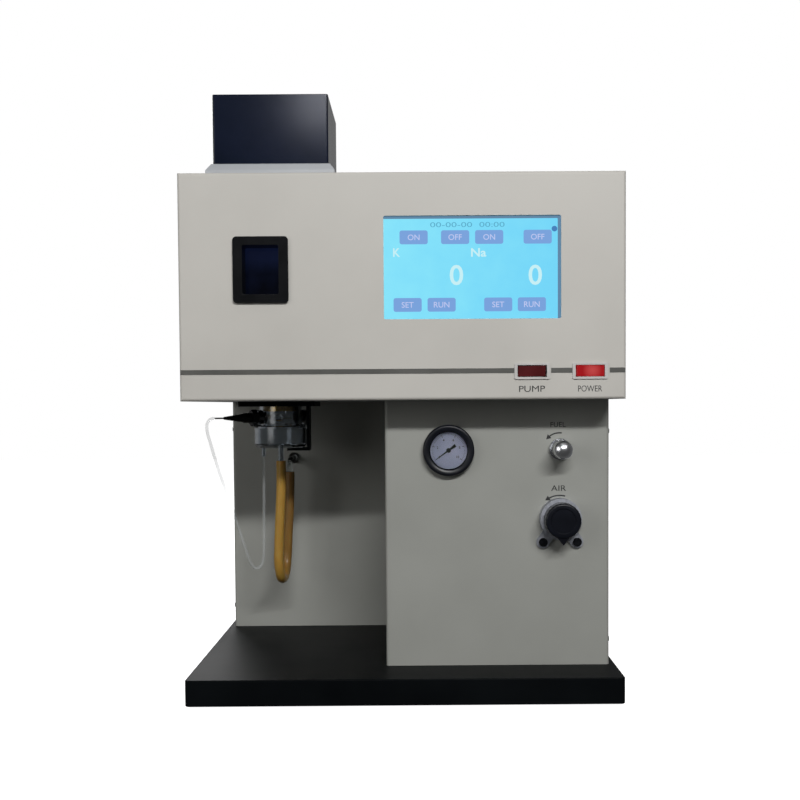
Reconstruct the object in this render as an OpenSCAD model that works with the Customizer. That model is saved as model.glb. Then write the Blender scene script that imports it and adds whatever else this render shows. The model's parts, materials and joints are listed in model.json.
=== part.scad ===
// Flame photometer: a bench instrument with a black base, a lower cabinet, an
// overhanging head and an open bay for the sample. Millimetres, +Z up.
// The origin is on the bench, under the middle of the base. The front faces -Y.

/* [Base] */
// Depth of the base tray, front to back
base_d = 370; // [340:1:450]
// How far the base tray stands out beside the lower body
base_margin = 6; // [0:0.5:20]
// Height of the base tray
tray_h = 24; // [20:0.5:40]
// Wall of the base tray
tray_wall = 2; // [1.5:0.25:3]
// Gap between the bench and the tray's skirt
skirt_gap = 3; // [1:0.5:6]
// Radius of the tray's upright corners
tray_corner_r = 4; // [2:0.5:8]
// Height of a rubber foot
foot_h = 8; // [7:0.5:12]
// Radius of a rubber foot
foot_r = 13; // [10:0.5:16]
// Distance from a foot's axis to the tray's sides
foot_inset = 38; // [25:1:60]
// Thickness of the bottom plate
bottom_plate_t = 2; // [1:0.25:3]

/* [Lower body] */
// Width of the lower body
body_w = 384; // [320:1:460]
// Clear height of the sample bay
bay_h = 250; // [240:1:300]
// Distance from the front of the base to the bay's back wall
bay_depth = 245; // [215:1:260]
// Width of the control housing, to the right of the bay
housing_w = 210; // [180:1:225]
// Distance from the front of the base to the control panel
housing_setback = 52; // [52:1:70]
// Distance from the rear panel to the back edge of the base
rear_inset = 20; // [15:1:35]
// Thickness of the folded sheet steel
sheet = 1.5; // [1:0.1:2]
// Outer radius of the sheet's upright bends
bend_r = 3; // [2:0.25:5]
// Leg of the angle posts inside the cabinet
post_leg = 20; // [15:1:25]
// Depth of the flange that joins the two lower shells
join_flange = 15; // [10:1:20]

/* [Head] */
// Height of the head
head_h = 201; // [195:1:245]
// How far the head stands out beside the lower body
head_overhang = 6; // [2:0.5:15]
// Thickness of the head's front panel
front_t = 2; // [1.5:0.25:3]
// Depth of the front panel's folded edge
front_return = 12; // [8:1:20]
// Thickness of the head's floor
floor_t = 2; // [1.5:0.25:3]
// Height of the floor's side flanges
floor_flange_h = 16; // [12:1:25]
// Height of the dark stripe
stripe_h = 3; // [2:0.5:5]
// Thickness of the dark stripe
stripe_t = 0.3; // [0.2:0.05:0.5]

/* [Viewing window] */
// Width of the window's bezel
bezel_w = 49; // [45:0.5:60]
// Height of the window's bezel
bezel_h = 58.5; // [55:0.5:70]
// How far the bezel stands out of the panel
bezel_proud = 3; // [1.5:0.25:4]
// Width of the window's opening
window_w = 32; // [25:0.5:34]
// Height of the window's opening
window_h = 43; // [35:0.5:45]
// Depth from the bezel's face to the glass
window_recess = 20; // [10:1:25]
// Thickness of the blue window glass
window_glass_t = 3; // [2:0.25:4]
// Height of the window's middle above the head's floor
window_rise = 115.5; // [105:0.5:125]

/* [Display] */
// Width of the display's opening
screen_w = 157; // [140:0.5:160]
// Height of the display's opening
screen_h = 91; // [80:0.5:95]
// Distance from the display's middle to the head's right side
screen_inset = 136; // [100:1:140]
// Height of the display's middle above the head's floor
screen_rise = 117; // [100:1:125]
// Depth of the gasket between the panel and the glass
gasket_t = 2.5; // [1:0.25:4]
// Thickness of the touch glass
touch_glass_t = 1.5; // [1:0.25:3]
// Thickness of the display module
module_t = 9; // [6:0.5:12]

/* [Rocker switches] */
// Width of a switch's bezel
switch_w = 31.5; // [31:0.5:34]
// Height of a switch's bezel
switch_h = 14.5; // [14:0.5:16]
// How far the bezel stands out of the panel
switch_proud = 1.5; // [1:0.25:2.5]
// Depth of a switch's body behind the panel
switch_depth = 20; // [15:1:25]
// Travel of a rocker, in degrees
rocker_travel = 14; // [10:1:15]
// Distance from the power switch to the head's right side
power_inset = 32; // [25:1:40]
// Distance between the two switches
switch_pitch = 51.5; // [40:0.5:60]
// Height of the switches and the stripe above the head's floor
switch_rise = 25; // [20:0.5:40]

/* [Pressure gauge] */
// Radius of the gauge's bezel
gauge_r = 24; // [20:0.5:29]
// How far the gauge stands out of the panel
gauge_proud = 9; // [8:0.5:12]
// Distance from the gauge's axis to the housing's left side
gauge_inset = 59.5; // [35:0.5:75]
// Distance from the gauge's axis to the head
gauge_drop = 47; // [35:0.5:80]
// Direction of the resting pointer, in degrees above +X
pointer_rest = 216; // [200:1:240]

/* [Fuel valve] */
// Distance from the two knobs' axes to the body's right side
knob_inset = 46.5; // [35:0.5:60]
// Distance from the fuel knob's axis to the head
fuel_drop = 46.5; // [35:0.5:60]
// Radius of the fuel knob
fuel_knob_r = 8.5; // [7:0.25:12]
// Length of the fuel knob
fuel_knob_l = 28; // [20:1:32]
// Radius of the fuel knob's stem
fuel_stem_r = 3; // [2.5:0.25:4]

/* [Air regulator] */
// Distance from the air knob's axis to the fuel knob's axis
air_drop = 65; // [50:1:90]
// Radius of the air knob
air_knob_r = 16.5; // [14:0.5:20]
// Length of the air knob
air_knob_l = 16; // [12:1:22]
// Radius of the grey dial collar behind the knob
collar_r = 19.3; // [17:0.1:24]
// Length of the dial collar
collar_l = 13; // [8:0.5:16]
// Radius of the regulator's spindle
air_stem_r = 4; // [3:0.25:5]

/* [Burner] */
// Distance from the burner's axis to the head's left side
burner_inset = 70; // [66:1:90]
// Distance from the front of the base to the burner's axis
burner_setback = 156; // [150:1:160]
// Outer width of the light-tight burner box
burner_box_w = 104; // [90:1:110]
// Height of the burner box
burner_box_h = 187; // [180:1:187]
// Wall of the burner box and the viewing tunnel
box_wall = 1.2; // [0.8:0.1:2]
// Width of the black plate that carries the burner
burner_plate_w = 76; // [60:1:80]
// Thickness of that plate
burner_plate_t = 5; // [3:0.5:8]
// Outer radius of the burner's tube
burner_tube_r = 11; // [9:0.5:13]
// Radius of the burner's head
burner_head_r = 15; // [13:0.5:18]
// Height of the burner's head
burner_head_h = 35; // [25:1:40]
// Outer radius of the glass lamp chimney
lamp_glass_r = 26; // [22:0.5:30]
// Height of the glass lamp chimney
lamp_glass_h = 110; // [90:1:115]

/* [Chimney] */
// Outer width of the chimney shroud
chimney_w = 112; // [108:1:120]
// Height of the chimney's top above the head
chimney_rise = 96; // [80:1:140]
// Height of the collar round the chimney
chimney_collar_h = 29; // [15:1:35]
// Radius of the steel flue
flue_r = 32; // [28:1:40]
// Depth of the flue's mouth below the chimney's top
flue_drop = 30; // [20:1:40]

/* [Spray chamber] */
// Radius of the chamber's neck
neck_r = 22; // [18:0.5:25]
// Height of the chamber's neck
neck_h = 18; // [15:0.5:22]
// Radius of the chamber's bowl
bowl_r = 27; // [22:0.5:30]
// Height of the chamber's bowl
bowl_h = 24; // [20:0.5:30]
// Wall of the bowl
bowl_wall = 4; // [3:0.5:6]
// Length of the drain spigot
drain_spigot_l = 14; // [10:0.5:18]
// Outer radius of the drain hose
drain_hose_r = 5; // [4:0.25:6]
// Turn of the nebuliser towards the front, in degrees
nebuliser_turn = 32; // [20:1:40]
// Outer radius of the clear sample tube
sample_tube_r = 1.5; // [1:0.1:2]

/* [Clearances] */
// Radial clearance of a turning fit
running = 0.06; // [0.02:0.01:0.1]
// Clearance of a part that drops into an opening
drop_in = 0.5; // [0.2:0.1:1]

/* [Hidden] */
$fn = 64;

// ---- Levels and planes -------------------------------------------------------
base_top = skirt_gap + tray_h;
head_z0 = base_top + bay_h;
head_z1 = head_z0 + head_h;
front_y = -base_d / 2;
rear_y = base_d / 2 - rear_inset;
bay_y = front_y + bay_depth;
panel_y = front_y + housing_setback;
base_w = body_w + 2 * base_margin;
head_w = body_w + 2 * head_overhang;
housing_x0 = body_w / 2 - housing_w;
head_in = head_w / 2 - sheet;
body_in = body_w / 2 - sheet;
floor_z1 = head_z0 + floor_t;
cover_y0 = front_y + front_t + front_return;

// ---- Places of the fitted parts ----------------------------------------------
burner_x = -head_w / 2 + burner_inset;
burner_y = front_y + burner_setback;
window_x = burner_x + 3;
window_z = head_z0 + window_rise;
screen_x = head_w / 2 - screen_inset;
screen_z = head_z0 + screen_rise;
switch_z = head_z0 + switch_rise;
power_x = head_w / 2 - power_inset;
pump_x = power_x - switch_pitch;
gauge_x = housing_x0 + gauge_inset;
gauge_z = head_z0 - gauge_drop;
knob_x = body_w / 2 - knob_inset;
fuel_z = head_z0 - fuel_drop;
air_z = fuel_z - air_drop;

// ---- Paint and material colours ----------------------------------------------
light_paint = [0.80, 0.79, 0.76];
body_paint = [0.66, 0.66, 0.63];
black_paint = [0.07, 0.08, 0.09];
steel = [0.72, 0.73, 0.75];
brass = [0.75, 0.62, 0.34];
clear_plastic = [0.78, 0.82, 0.86, 0.45];
rubber_black = [0.1, 0.1, 0.1];

// ---- Shared shapes -----------------------------------------------------------
// A flat rectangle with round corners, centred on the origin
module round_rect(w, h, r) {
  square([w - 2 * r, h], center = true);
  if (h > 2 * r)
    square([w, h - 2 * r], center = true);
  for (x = [-1, 1], y = [-1, 1])
    translate([x * (w / 2 - r), y * (h / 2 - r)])
      circle(r);
}

// A plate that faces the front: its front face is at y and it reaches back by t
module front_plate(x, y, z, w, h, t, r = 1) {
  translate([x, y + t, z])
    rotate([90, 0, 0])
      linear_extrude(t)
        round_rect(w, h, r);
}

// The same plate with square corners, as wide as the cut-outs in flat sheet
module front_block(x, y, z, w, h, t) {
  translate([x - w / 2, y, z - h / 2])
    cube([w, t, h]);
}

// A round bar along +Y that starts at y
module bar_y(x, y, z, r, l) {
  translate([x, y, z])
    rotate([-90, 0, 0])
      cylinder(r = r, h = l);
}

// A round bar along +X that starts at x
module bar_x(x, y, z, r, l) {
  translate([x, y, z])
    rotate([0, 90, 0])
      cylinder(r = r, h = l);
}

// A round tube along +Y
module tube_y(x, y, z, r_out, r_in, l) {
  difference() {
    bar_y(x, y, z, r_out, l);
    bar_y(x, y - 1, z, r_in, l + 2);
  }
}

// A hexagonal nut along +Y; its corners lie at radius r
module hex_y(x, y, z, r, l) {
  translate([x, y, z])
    rotate([-90, 0, 0])
      cylinder(r = r, h = l, $fn = 6);
}

// The nebuliser's own frame: +Z of this frame runs along its axis, away from the neck
module along_nebuliser(t) {
  translate([burner_x, burner_y, nebuliser_z])
    rotate([0, 0, 180 + nebuliser_turn])
      rotate([0, 90, 0])
        translate([0, 0, t])
          children();
}

// ---- Tubes along a route -----------------------------------------------------
// A route given beside an upright axis at x, y
function beside(x, y, route) = [for (p = route) [x + p[0], y + p[1], p[2]]];
function unit(v) = v / norm(v);
function heading(p, i) =
  unit(p[min(i + 1, len(p) - 1)] - p[max(i - 1, 0)]);
function square_to(v, t) = unit(v - (v * t) * t);
function ring(p, i, r, sides, side_way) =
  let (t = heading(p, i), a = square_to(side_way, t), b = cross(t, a))
  [for (k = [0 : sides - 1])
     p[i] + r * (a * cos(360 * k / sides) + b * sin(360 * k / sides))];
module route_tube(p, r, sides, side_way) {
  n = len(p);
  points = [for (i = [0 : n - 1]) each ring(p, i, r, sides, side_way)];
  walls = [for (i = [0 : n - 2], k = [0 : sides - 1])
    let (m = (k + 1) % sides, a = i * sides, b = (i + 1) * sides)
    each [[a + k, b + k, a + m], [a + m, b + k, b + m]]];
  start_cap = [[for (k = [0 : sides - 1]) k]];
  end_cap = [[for (k = [sides - 1 : -1 : 0]) (n - 1) * sides + k]];
  polyhedron(points, concat(walls, start_cap, end_cap));
}

// ---- Folded sheet ------------------------------------------------------------
// A plan with its two front corners rounded
module front_round(x0, x1, y0, y1, r) {
  translate([x0 + r, y0])
    square([x1 - x0 - 2 * r, y1 - y0]);
  translate([x0, y0 + r])
    square([x1 - x0, y1 - y0 - r]);
  for (x = [x0 + r, x1 - r])
    translate([x, y0 + r])
      circle(r);
}

// A sheet folded into a U that opens towards larger y
module u_fold(x0, x1, y0, y1) {
  difference() {
    front_round(x0, x1, y0, y1, bend_r);
    front_round(x0 + sheet, x1 - sheet, y0 + sheet, y1 + 1, max(bend_r - sheet, 0.05));
  }
}

// One of the angle posts, with its heel at the origin; sx and sy turn its legs
module post(x, y, sx, sy) {
  heel = max(bend_r - sheet, 0.05);
  translate([x, y, base_top])
    mirror([sx < 0 ? 1 : 0, 0, 0])
      mirror([0, sy < 0 ? 1 : 0, 0])
        linear_extrude(bay_h)
          difference() {
            union() {
              translate([heel, 0])
                square([post_leg - heel, post_leg]);
              translate([0, heel])
                square([heel + 0.1, post_leg - heel]);
              translate([heel, heel])
                circle(heel);
            }
            translate([sheet + heel, sheet])
              square(post_leg);
            translate([sheet, sheet + heel])
              square(post_leg);
            translate([sheet + heel, sheet + heel])
              circle(heel);
          }
}

// ---- Fasteners ---------------------------------------------------------------
screw_r = 1.5;
screw_hole_r = 1.7;
screw_head_r = 3.2;
screw_head_h = 1.8;
screw_l = 7;
foot_screw_r = 2;
foot_screw_l = 14;

// A screw whose head sits on z = 0 and whose shank goes down
module screw(r, l) {
  translate([0, 0, -l])
    cylinder(r = r, h = l);
  difference() {
    cylinder(r1 = screw_head_r, r2 = 0.7 * screw_head_r, h = screw_head_h);
    translate([0, 0, 0.4 * screw_head_h])
      cylinder(r = 0.45 * screw_head_r, h = screw_head_h, $fn = 6);
  }
}

// Screws through the side walls: side, y, z
head_screw_z = head_z0 + floor_flange_h / 2;
post_inset = sheet + post_leg / 2;
post_screw_z = [base_top + 22, head_z0 - 30];
head_sides = [for (side = [-1, 1], y = [cover_y0 + 45, 0, rear_y - 40])
  [side, y, head_screw_z]];
head_backs = [for (side = [-1, 1], z = [head_z0 + 60, head_z1 - 45])
  [side, rear_y - 7, z]];
left_sides = [for (y = [bay_y + post_inset, rear_y - post_inset], z = post_screw_z)
  [-1, y, z]];
right_sides = [for (y = [panel_y + post_inset, rear_y - post_inset], z = post_screw_z)
  [1, y, z]];
back_screws = [for (side = [-1, 1], z = post_screw_z)
  [side * (body_w / 2 - post_inset), z + 12]];

// The same places, drawn as screws or drilled as holes
module side_screws(list, half_w) {
  for (s = list)
    translate([s[0] * half_w, s[1], s[2]])
      rotate([0, 90 * s[0], 0])
        screw(screw_r, screw_l);
}
module side_holes(list, half_w) {
  for (s = list)
    bar_x(s[0] * half_w - screw_l, s[1], s[2], screw_hole_r, 2 * screw_l);
}
module back_holes() {
  for (s = back_screws)
    bar_y(s[0], rear_y - screw_l, s[1], screw_hole_r, 2 * screw_l);
}

// ---- Base --------------------------------------------------------------------
foot_x = base_w / 2 - foot_inset;
foot_y = base_d / 2 - foot_inset;
foot_places = [for (x = [-foot_x, foot_x], y = [-foot_y, foot_y]) [x, y]];
plate_top = foot_h + bottom_plate_t;
screw_boss_r = 7;

module base_tray() {
  color(black_paint)
    difference() {
      union() {
        difference() {
          translate([0, 0, skirt_gap])
            linear_extrude(tray_h)
              round_rect(base_w, base_d, tray_corner_r);
          translate([0, 0, skirt_gap - 1])
            linear_extrude(tray_h - tray_wall + 1)
              round_rect(base_w - 2 * tray_wall, base_d - 2 * tray_wall,
                         max(tray_corner_r - tray_wall, 0.1));
        }
        for (p = foot_places)
          translate([p[0], p[1], plate_top])
            cylinder(r = screw_boss_r, h = base_top - tray_wall - plate_top);
      }
      for (p = foot_places)
        translate([p[0], p[1], plate_top - 1])
          cylinder(r = foot_screw_r + 0.1, h = foot_screw_l);
    }
}

module bottom_plate() {
  color(steel)
    translate([0, 0, foot_h])
      linear_extrude(bottom_plate_t)
        difference() {
          round_rect(base_w - 2 * tray_wall - drop_in, base_d - 2 * tray_wall - drop_in,
                     max(tray_corner_r - tray_wall, 0.1));
          for (p = foot_places)
            translate(p)
              circle(foot_screw_r + 0.1);
        }
}

module rubber_feet() {
  recess_h = foot_h - 3;
  color(rubber_black)
    for (p = foot_places)
      translate([p[0], p[1], 0])
        difference() {
          cylinder(r1 = foot_r - 2, r2 = foot_r, h = foot_h);
          translate([0, 0, -1])
            cylinder(r = screw_head_r + 2, h = recess_h + 1);
          cylinder(r = foot_screw_r + 0.1, h = foot_h + 1);
        }
}

// ---- Cabinet -----------------------------------------------------------------
module case_screws() {
  color(steel) {
    side_screws(head_sides, head_w / 2);
    side_screws(head_backs, head_w / 2);
    side_screws(left_sides, body_w / 2);
    side_screws(right_sides, body_w / 2);
    for (s = back_screws)
      translate([s[0], rear_y, s[1]])
        rotate([-90, 0, 0])
          screw(screw_r, screw_l);
    for (p = foot_places)
      translate([p[0], p[1], foot_h - 3])
        mirror([0, 0, 1])
          screw(foot_screw_r, foot_screw_l);
  }
}

module frame_posts() {
  color(steel)
    difference() {
      union() {
        post(-body_in, rear_y - sheet, 1, -1);
        post(body_in, rear_y - sheet, -1, -1);
        post(body_in, panel_y + sheet, -1, 1);
        post(housing_x0 + sheet, panel_y + sheet, 1, 1);
        post(-body_in, bay_y + sheet, 1, 1);
      }
      side_holes(left_sides, body_w / 2);
      side_holes(right_sides, body_w / 2);
      back_holes();
    }
}

module column_shell() {
  color(body_paint)
    difference() {
      translate([0, 0, base_top])
        linear_extrude(bay_h)
          difference() {
            u_fold(-body_w / 2, housing_x0, bay_y, rear_y);
            translate([housing_x0 - bend_r - sheet, bay_y + join_flange])
              square([bend_r + sheet + 1, base_d]);
          }
      bar_y(waste_x, bay_y - 1, waste_z, waste_r + 0.3, sheet + 2);
      bar_y(air_pipe_x, bay_y - 1, nebuliser_z, pipe_r + 1, sheet + 2);
      side_holes(left_sides, body_w / 2);
    }
}

module housing_shell() {
  color(body_paint)
    difference() {
      translate([0, 0, base_top])
        linear_extrude(bay_h)
          difference() {
            u_fold(housing_x0, body_w / 2, panel_y, rear_y);
            translate([housing_x0 - 1, bay_y + join_flange])
              square([bend_r + 1, base_d]);
          }
      bar_y(gauge_x, panel_y - 1, gauge_z, gauge_case_r + drop_in / 2, sheet + 2);
      bar_y(knob_x, panel_y - 1, fuel_z, bushing_r + drop_in / 2, sheet + 2);
      bar_y(knob_x, panel_y - 1, air_z, bonnet_r + drop_in / 2, sheet + 2);
      for (side = [-1, 1])
        bar_y(knob_x + side * lug_x, panel_y - 1, air_z - lug_drop, screw_hole_r, sheet + 2);
      side_holes(right_sides, body_w / 2);
    }
}

// Rows of cooling slots in a panel whose outer face is at rear_y
module cooling_slots(x, z, columns, rows) {
  slot_w = 30;
  slot_h = 3;
  for (i = [0 : columns - 1], k = [0 : rows - 1])
    front_plate(x + (i - (columns - 1) / 2) * 40, rear_y - sheet - 1,
                z + (k - (rows - 1) / 2) * 9, slot_w, slot_h, sheet + 2, slot_h / 2);
}

module rear_panel() {
  color(body_paint)
    difference() {
      front_block(0, rear_y - sheet, base_top + bay_h / 2, 2 * body_in, bay_h, sheet);
      cooling_slots(-95, head_z0 - 70, 3, 8);
      for (x = [air_inlet_x, gas_inlet_x])
        bar_y(x, rear_y - sheet - 1, supply_z, fitting_r + 0.2, sheet + 2);
      front_block(mains_x, rear_y - sheet - 1, mains_z,
                  mains_body_w + drop_in, mains_body_h + drop_in, sheet + 2);
      back_holes();
    }
}

// ---- Head --------------------------------------------------------------------
return_d = 14;
cable_slot = [90, 50];
cable_slot_at = [95, 125];

module head_floor() {
  flange_l = rear_y - return_d - cover_y0;
  color(steel)
    difference() {
      union() {
        translate([-head_in, cover_y0, head_z0])
          cube([2 * head_in, rear_y - cover_y0, floor_t]);
        for (x = [-head_in, head_in - sheet])
          translate([x, cover_y0, head_z0])
            cube([sheet, flange_l, floor_flange_h]);
      }
      translate([burner_x, burner_y, head_z0 - 1])
        cylinder(r = burner_tube_r + 1, h = floor_t + 2);
      translate([knob_x, fuel_port_y, head_z0 - 1])
        cylinder(r = pipe_r + 3, h = floor_t + 2);
      translate([cable_slot_at[0] - cable_slot[0] / 2, cable_slot_at[1] - cable_slot[1] / 2,
                 head_z0 - 1])
        cube([cable_slot[0], cable_slot[1], floor_t + 2]);
      side_holes(head_sides, head_w / 2);
    }
}

module head_front_panel() {
  edge_r = 2.5;
  d = 2 * (front_t + front_return);
  color(light_paint)
    difference() {
      intersection() {
        translate([0, front_y + d / 2, head_z0])
          linear_extrude(head_h)
            round_rect(head_w, d, edge_r);
        translate([-head_w / 2, front_y + d / 2, head_z0 + head_h / 2])
          rotate([90, 0, 90])
            linear_extrude(head_w)
              round_rect(d, head_h, edge_r);
        front_block(0, front_y, head_z0 + head_h / 2, head_w, head_h, d / 2);
      }
      front_block(0, front_y + front_t, head_z0 + head_h / 2,
                  head_w - 2 * front_t, head_h - 2 * front_t, d);
      front_block(window_x, front_y - 1, window_z,
                  sleeve_w + drop_in, sleeve_h + drop_in, front_t + 2);
      front_plate(screen_x, front_y - 1, screen_z, screen_w, screen_h, front_t + 2, 1.5);
      for (x = [pump_x, power_x])
        front_block(x, front_y - 1, switch_z,
                    switch_body_w + drop_in, switch_body_h + drop_in, front_t + 2);
    }
}

module head_cover() {
  color(light_paint)
    difference() {
      translate([0, cover_y0, 0])
        rotate([-90, 0, 0])
          linear_extrude(rear_y - cover_y0)
            u_fold(-head_w / 2, head_w / 2, -head_z1, -head_z0);
      translate([burner_x, burner_y, head_z1 - sheet - 1])
        cylinder(r = flue_r + 8, h = sheet + 2);
      side_holes(head_sides, head_w / 2);
      side_holes(head_backs, head_w / 2);
    }
}

module head_rear_panel() {
  inner_h = head_z1 - sheet - floor_z1;
  inner_r = max(bend_r - sheet, 0.05);
  mid_z = floor_z1 + inner_h / 2;
  color(light_paint)
    difference() {
      front_plate(0, rear_y - return_d, mid_z, 2 * head_in, inner_h, return_d, inner_r);
      front_block(0, rear_y - return_d - 1, mid_z, 2 * (head_in - sheet), inner_h - 2 * sheet,
                  return_d - sheet + 1);
      cooling_slots(60, head_z0 + head_h / 2, 5, 10);
      side_holes(head_backs, head_w / 2);
    }
}

module trim_stripe() {
  left = -head_w / 2 + 2.5;
  runs = [[left, pump_x - switch_w / 2],
          [pump_x + switch_w / 2, power_x - switch_w / 2],
          [power_x + switch_w / 2, -left]];
  color([0.3, 0.3, 0.29])
    for (run = runs)
      translate([run[0], front_y - stripe_t, switch_z - stripe_h / 2])
        cube([run[1] - run[0], stripe_t, stripe_h]);
}

// ---- Viewing window ----------------------------------------------------------
sleeve_wall = 2.5;
sleeve_w = window_w + 2 * sleeve_wall;
sleeve_h = window_h + 2 * sleeve_wall;
glass_y = front_y - bezel_proud + window_recess;
box_front_y = burner_y - burner_box_w / 2;

module window_bezel() {
  color([0.08, 0.08, 0.09])
    difference() {
      union() {
        front_plate(window_x, front_y - bezel_proud, window_z, bezel_w, bezel_h, bezel_proud, 3.5);
        front_block(window_x, front_y, window_z, sleeve_w, sleeve_h, glass_y - front_y);
      }
      front_plate(window_x, front_y - bezel_proud - 1, window_z, window_w, window_h,
                  window_recess + 2, 1.5);
    }
}

module window_glass() {
  color([0.05, 0.12, 0.35, 0.8])
    front_block(window_x, glass_y, window_z, sleeve_w, sleeve_h, window_glass_t);
}

module view_tunnel() {
  inner_w = sleeve_w + drop_in;
  inner_h = sleeve_h + drop_in;
  tunnel_y0 = front_y + front_t;
  color(steel)
    difference() {
      front_block(window_x, tunnel_y0, window_z, inner_w + 2 * box_wall, inner_h + 2 * box_wall,
                  box_front_y - tunnel_y0);
      front_block(window_x, tunnel_y0 - 1, window_z, inner_w, inner_h, base_d);
    }
}

// ---- Burner ------------------------------------------------------------------
head_top_z = window_z - window_h / 2 - 7;
gallery_z = head_top_z - 50;
glass_top_z = gallery_z + lamp_glass_h;
box_top_z = floor_z1 + burner_box_h;
igniter_r = 3;
igniter_z = head_top_z + 4;
chamber_top = head_z0 - burner_plate_t;
chimney_top = head_z1 + chimney_rise;
flue_wall = 1;
pipe_r = 2;
fuel_pipe_z = floor_z1 + 18;

// Things in the burner's own frame: its axis is the Z axis
module on_burner(z) {
  translate([burner_x, burner_y, z])
    children();
}

module burner_box() {
  w = burner_box_w;
  color(steel)
    difference() {
      on_burner(floor_z1)
        linear_extrude(burner_box_h)
          square(w, center = true);
      on_burner(floor_z1 - 1)
        linear_extrude(burner_box_h - box_wall + 1)
          square(w - 2 * box_wall, center = true);
      on_burner(box_top_z - box_wall - 1)
        cylinder(r = flue_r + 0.4, h = box_wall + 2);
      front_block(window_x, box_front_y - 1, window_z, window_w, window_h, box_wall + 2);
      bar_x(burner_x + w / 2 - box_wall - 1, burner_y, window_z, lens_r, box_wall + 2);
      bar_x(burner_x + w / 2 - box_wall - 1, burner_y, fuel_pipe_z, pipe_r + 1, box_wall + 2);
      bar_y(burner_x, burner_y + w / 2 - box_wall - 1, igniter_z, igniter_r + 0.2, box_wall + 2);
    }
}

module burner_plate() {
  color(black_paint)
    on_burner(chamber_top)
      linear_extrude(burner_plate_t)
        difference() {
          round_rect(burner_plate_w, burner_plate_w, 3);
          circle(burner_tube_r + 0.2);
        }
}

module burner_tube() {
  spigot_r = neck_r - bowl_wall - 0.1;
  gallery_r = lamp_glass_r + 3;
  color(brass)
    difference() {
      union() {
        on_burner(chamber_top - 5)
          cylinder(r = spigot_r, h = 5);
        on_burner(chamber_top - 5)
          cylinder(r = burner_tube_r, h = head_top_z - 12 - chamber_top + 5);
        on_burner(gallery_z - 3)
          cylinder(r = gallery_r, h = 3);
        bar_x(burner_x + burner_tube_r - 1, burner_y, fuel_pipe_z, pipe_r + 2, 7);
      }
      on_burner(chamber_top - 6)
        cylinder(r = burner_tube_r - 2, h = head_top_z);
      for (a = [0 : 45 : 315])
        on_burner(gallery_z - 4)
          rotate([0, 0, a])
            translate([burner_tube_r + 6, 0, 0])
              cylinder(r = 3, h = 5);
      bar_x(burner_x, burner_y, fuel_pipe_z, pipe_r, burner_tube_r + 8);
    }
}

module burner_head() {
  seat_h = 20;
  color(brass)
    difference() {
      union() {
        on_burner(head_top_z - burner_head_h)
          cylinder(r = burner_head_r, h = burner_head_h - 2);
        on_burner(head_top_z - 2)
          cylinder(r1 = burner_head_r, r2 = burner_head_r - 2, h = 2);
      }
      on_burner(head_top_z - burner_head_h - 1)
        cylinder(r = burner_tube_r + 0.05, h = burner_head_h - 12 + 1);
      on_burner(head_top_z - 13)
        cylinder(r = burner_tube_r - 2, h = 8);
      on_burner(head_top_z - 6)
        for (ring = [0, 1], a = [0 : 60 : 300])
          rotate([0, 0, a + 30 * ring])
            translate([3.2 + 3.8 * ring, 0, 0])
              cylinder(r = 0.8, h = 8, $fn = 24);
      on_burner(head_top_z - 6)
        cylinder(r = 0.8, h = 8, $fn = 24);
    }
}

module lamp_glass() {
  color([0.9, 0.93, 0.95, 0.3])
    difference() {
      on_burner(gallery_z)
        cylinder(r = lamp_glass_r, h = lamp_glass_h);
      on_burner(gallery_z - 1)
        cylinder(r = lamp_glass_r - 2, h = lamp_glass_h + 2);
      bar_y(burner_x, burner_y, igniter_z, igniter_r + 1, lamp_glass_r + 1);
    }
}

module igniter() {
  wall_y = burner_y + burner_box_w / 2;
  color([0.93, 0.92, 0.88]) {
    bar_y(burner_x, burner_y + 8, igniter_z, igniter_r, wall_y + 12 - burner_y - 8);
    bar_y(burner_x, wall_y, igniter_z, 3 * igniter_r, 3);
    bar_y(burner_x, burner_y + 3, igniter_z, 0.6, 6);
  }
}

module flue_tube() {
  color(steel)
    difference() {
      union() {
        on_burner(glass_top_z + 6)
          cylinder(r = flue_r, h = chimney_top - flue_drop - glass_top_z - 6);
        on_burner(box_top_z)
          cylinder(r = flue_r + 7, h = 1.5);
      }
      on_burner(glass_top_z + 5)
        cylinder(r = flue_r - flue_wall, h = chimney_rise + head_h);
    }
}

// ---- Chimney -----------------------------------------------------------------
collar_out = 6.5;
collar_slope_h = 7;

// One way through the collar: a curb with a sloped shoulder
module collar_section() {
  foot = chimney_w / 2 + collar_out;
  lip = chimney_w / 2 + 1.5;
  shoulder = chimney_collar_h - collar_slope_h;
  polygon([[-foot, 0], [foot, 0], [foot, shoulder], [lip, chimney_collar_h],
           [-lip, chimney_collar_h], [-foot, shoulder]]);
}

module chimney_collar() {
  w = chimney_w + 2 * collar_out;
  color([0.72, 0.73, 0.74])
    difference() {
      intersection() {
        on_burner(head_z1)
          translate([0, w / 2, 0])
            rotate([90, 0, 0])
              linear_extrude(w)
                collar_section();
        on_burner(head_z1)
          translate([-w / 2, 0, 0])
            rotate([90, 0, 90])
              linear_extrude(w)
                collar_section();
      }
      on_burner(head_z1 - 1)
        linear_extrude(chimney_collar_h + 2)
          square(chimney_w + drop_in, center = true);
    }
}

module chimney_shroud() {
  shroud_t = 1.5;
  lip_w = 8;
  color(black_paint)
    difference() {
      on_burner(head_z1)
        linear_extrude(chimney_rise)
          round_rect(chimney_w, chimney_w, 2);
      on_burner(head_z1 + shroud_t)
        linear_extrude(chimney_rise - 2 * shroud_t)
          square(chimney_w - 2 * shroud_t, center = true);
      on_burner(head_z1 - 1)
        linear_extrude(chimney_rise + 2)
          square(chimney_w - 2 * lip_w, center = true);
    }
}

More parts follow.
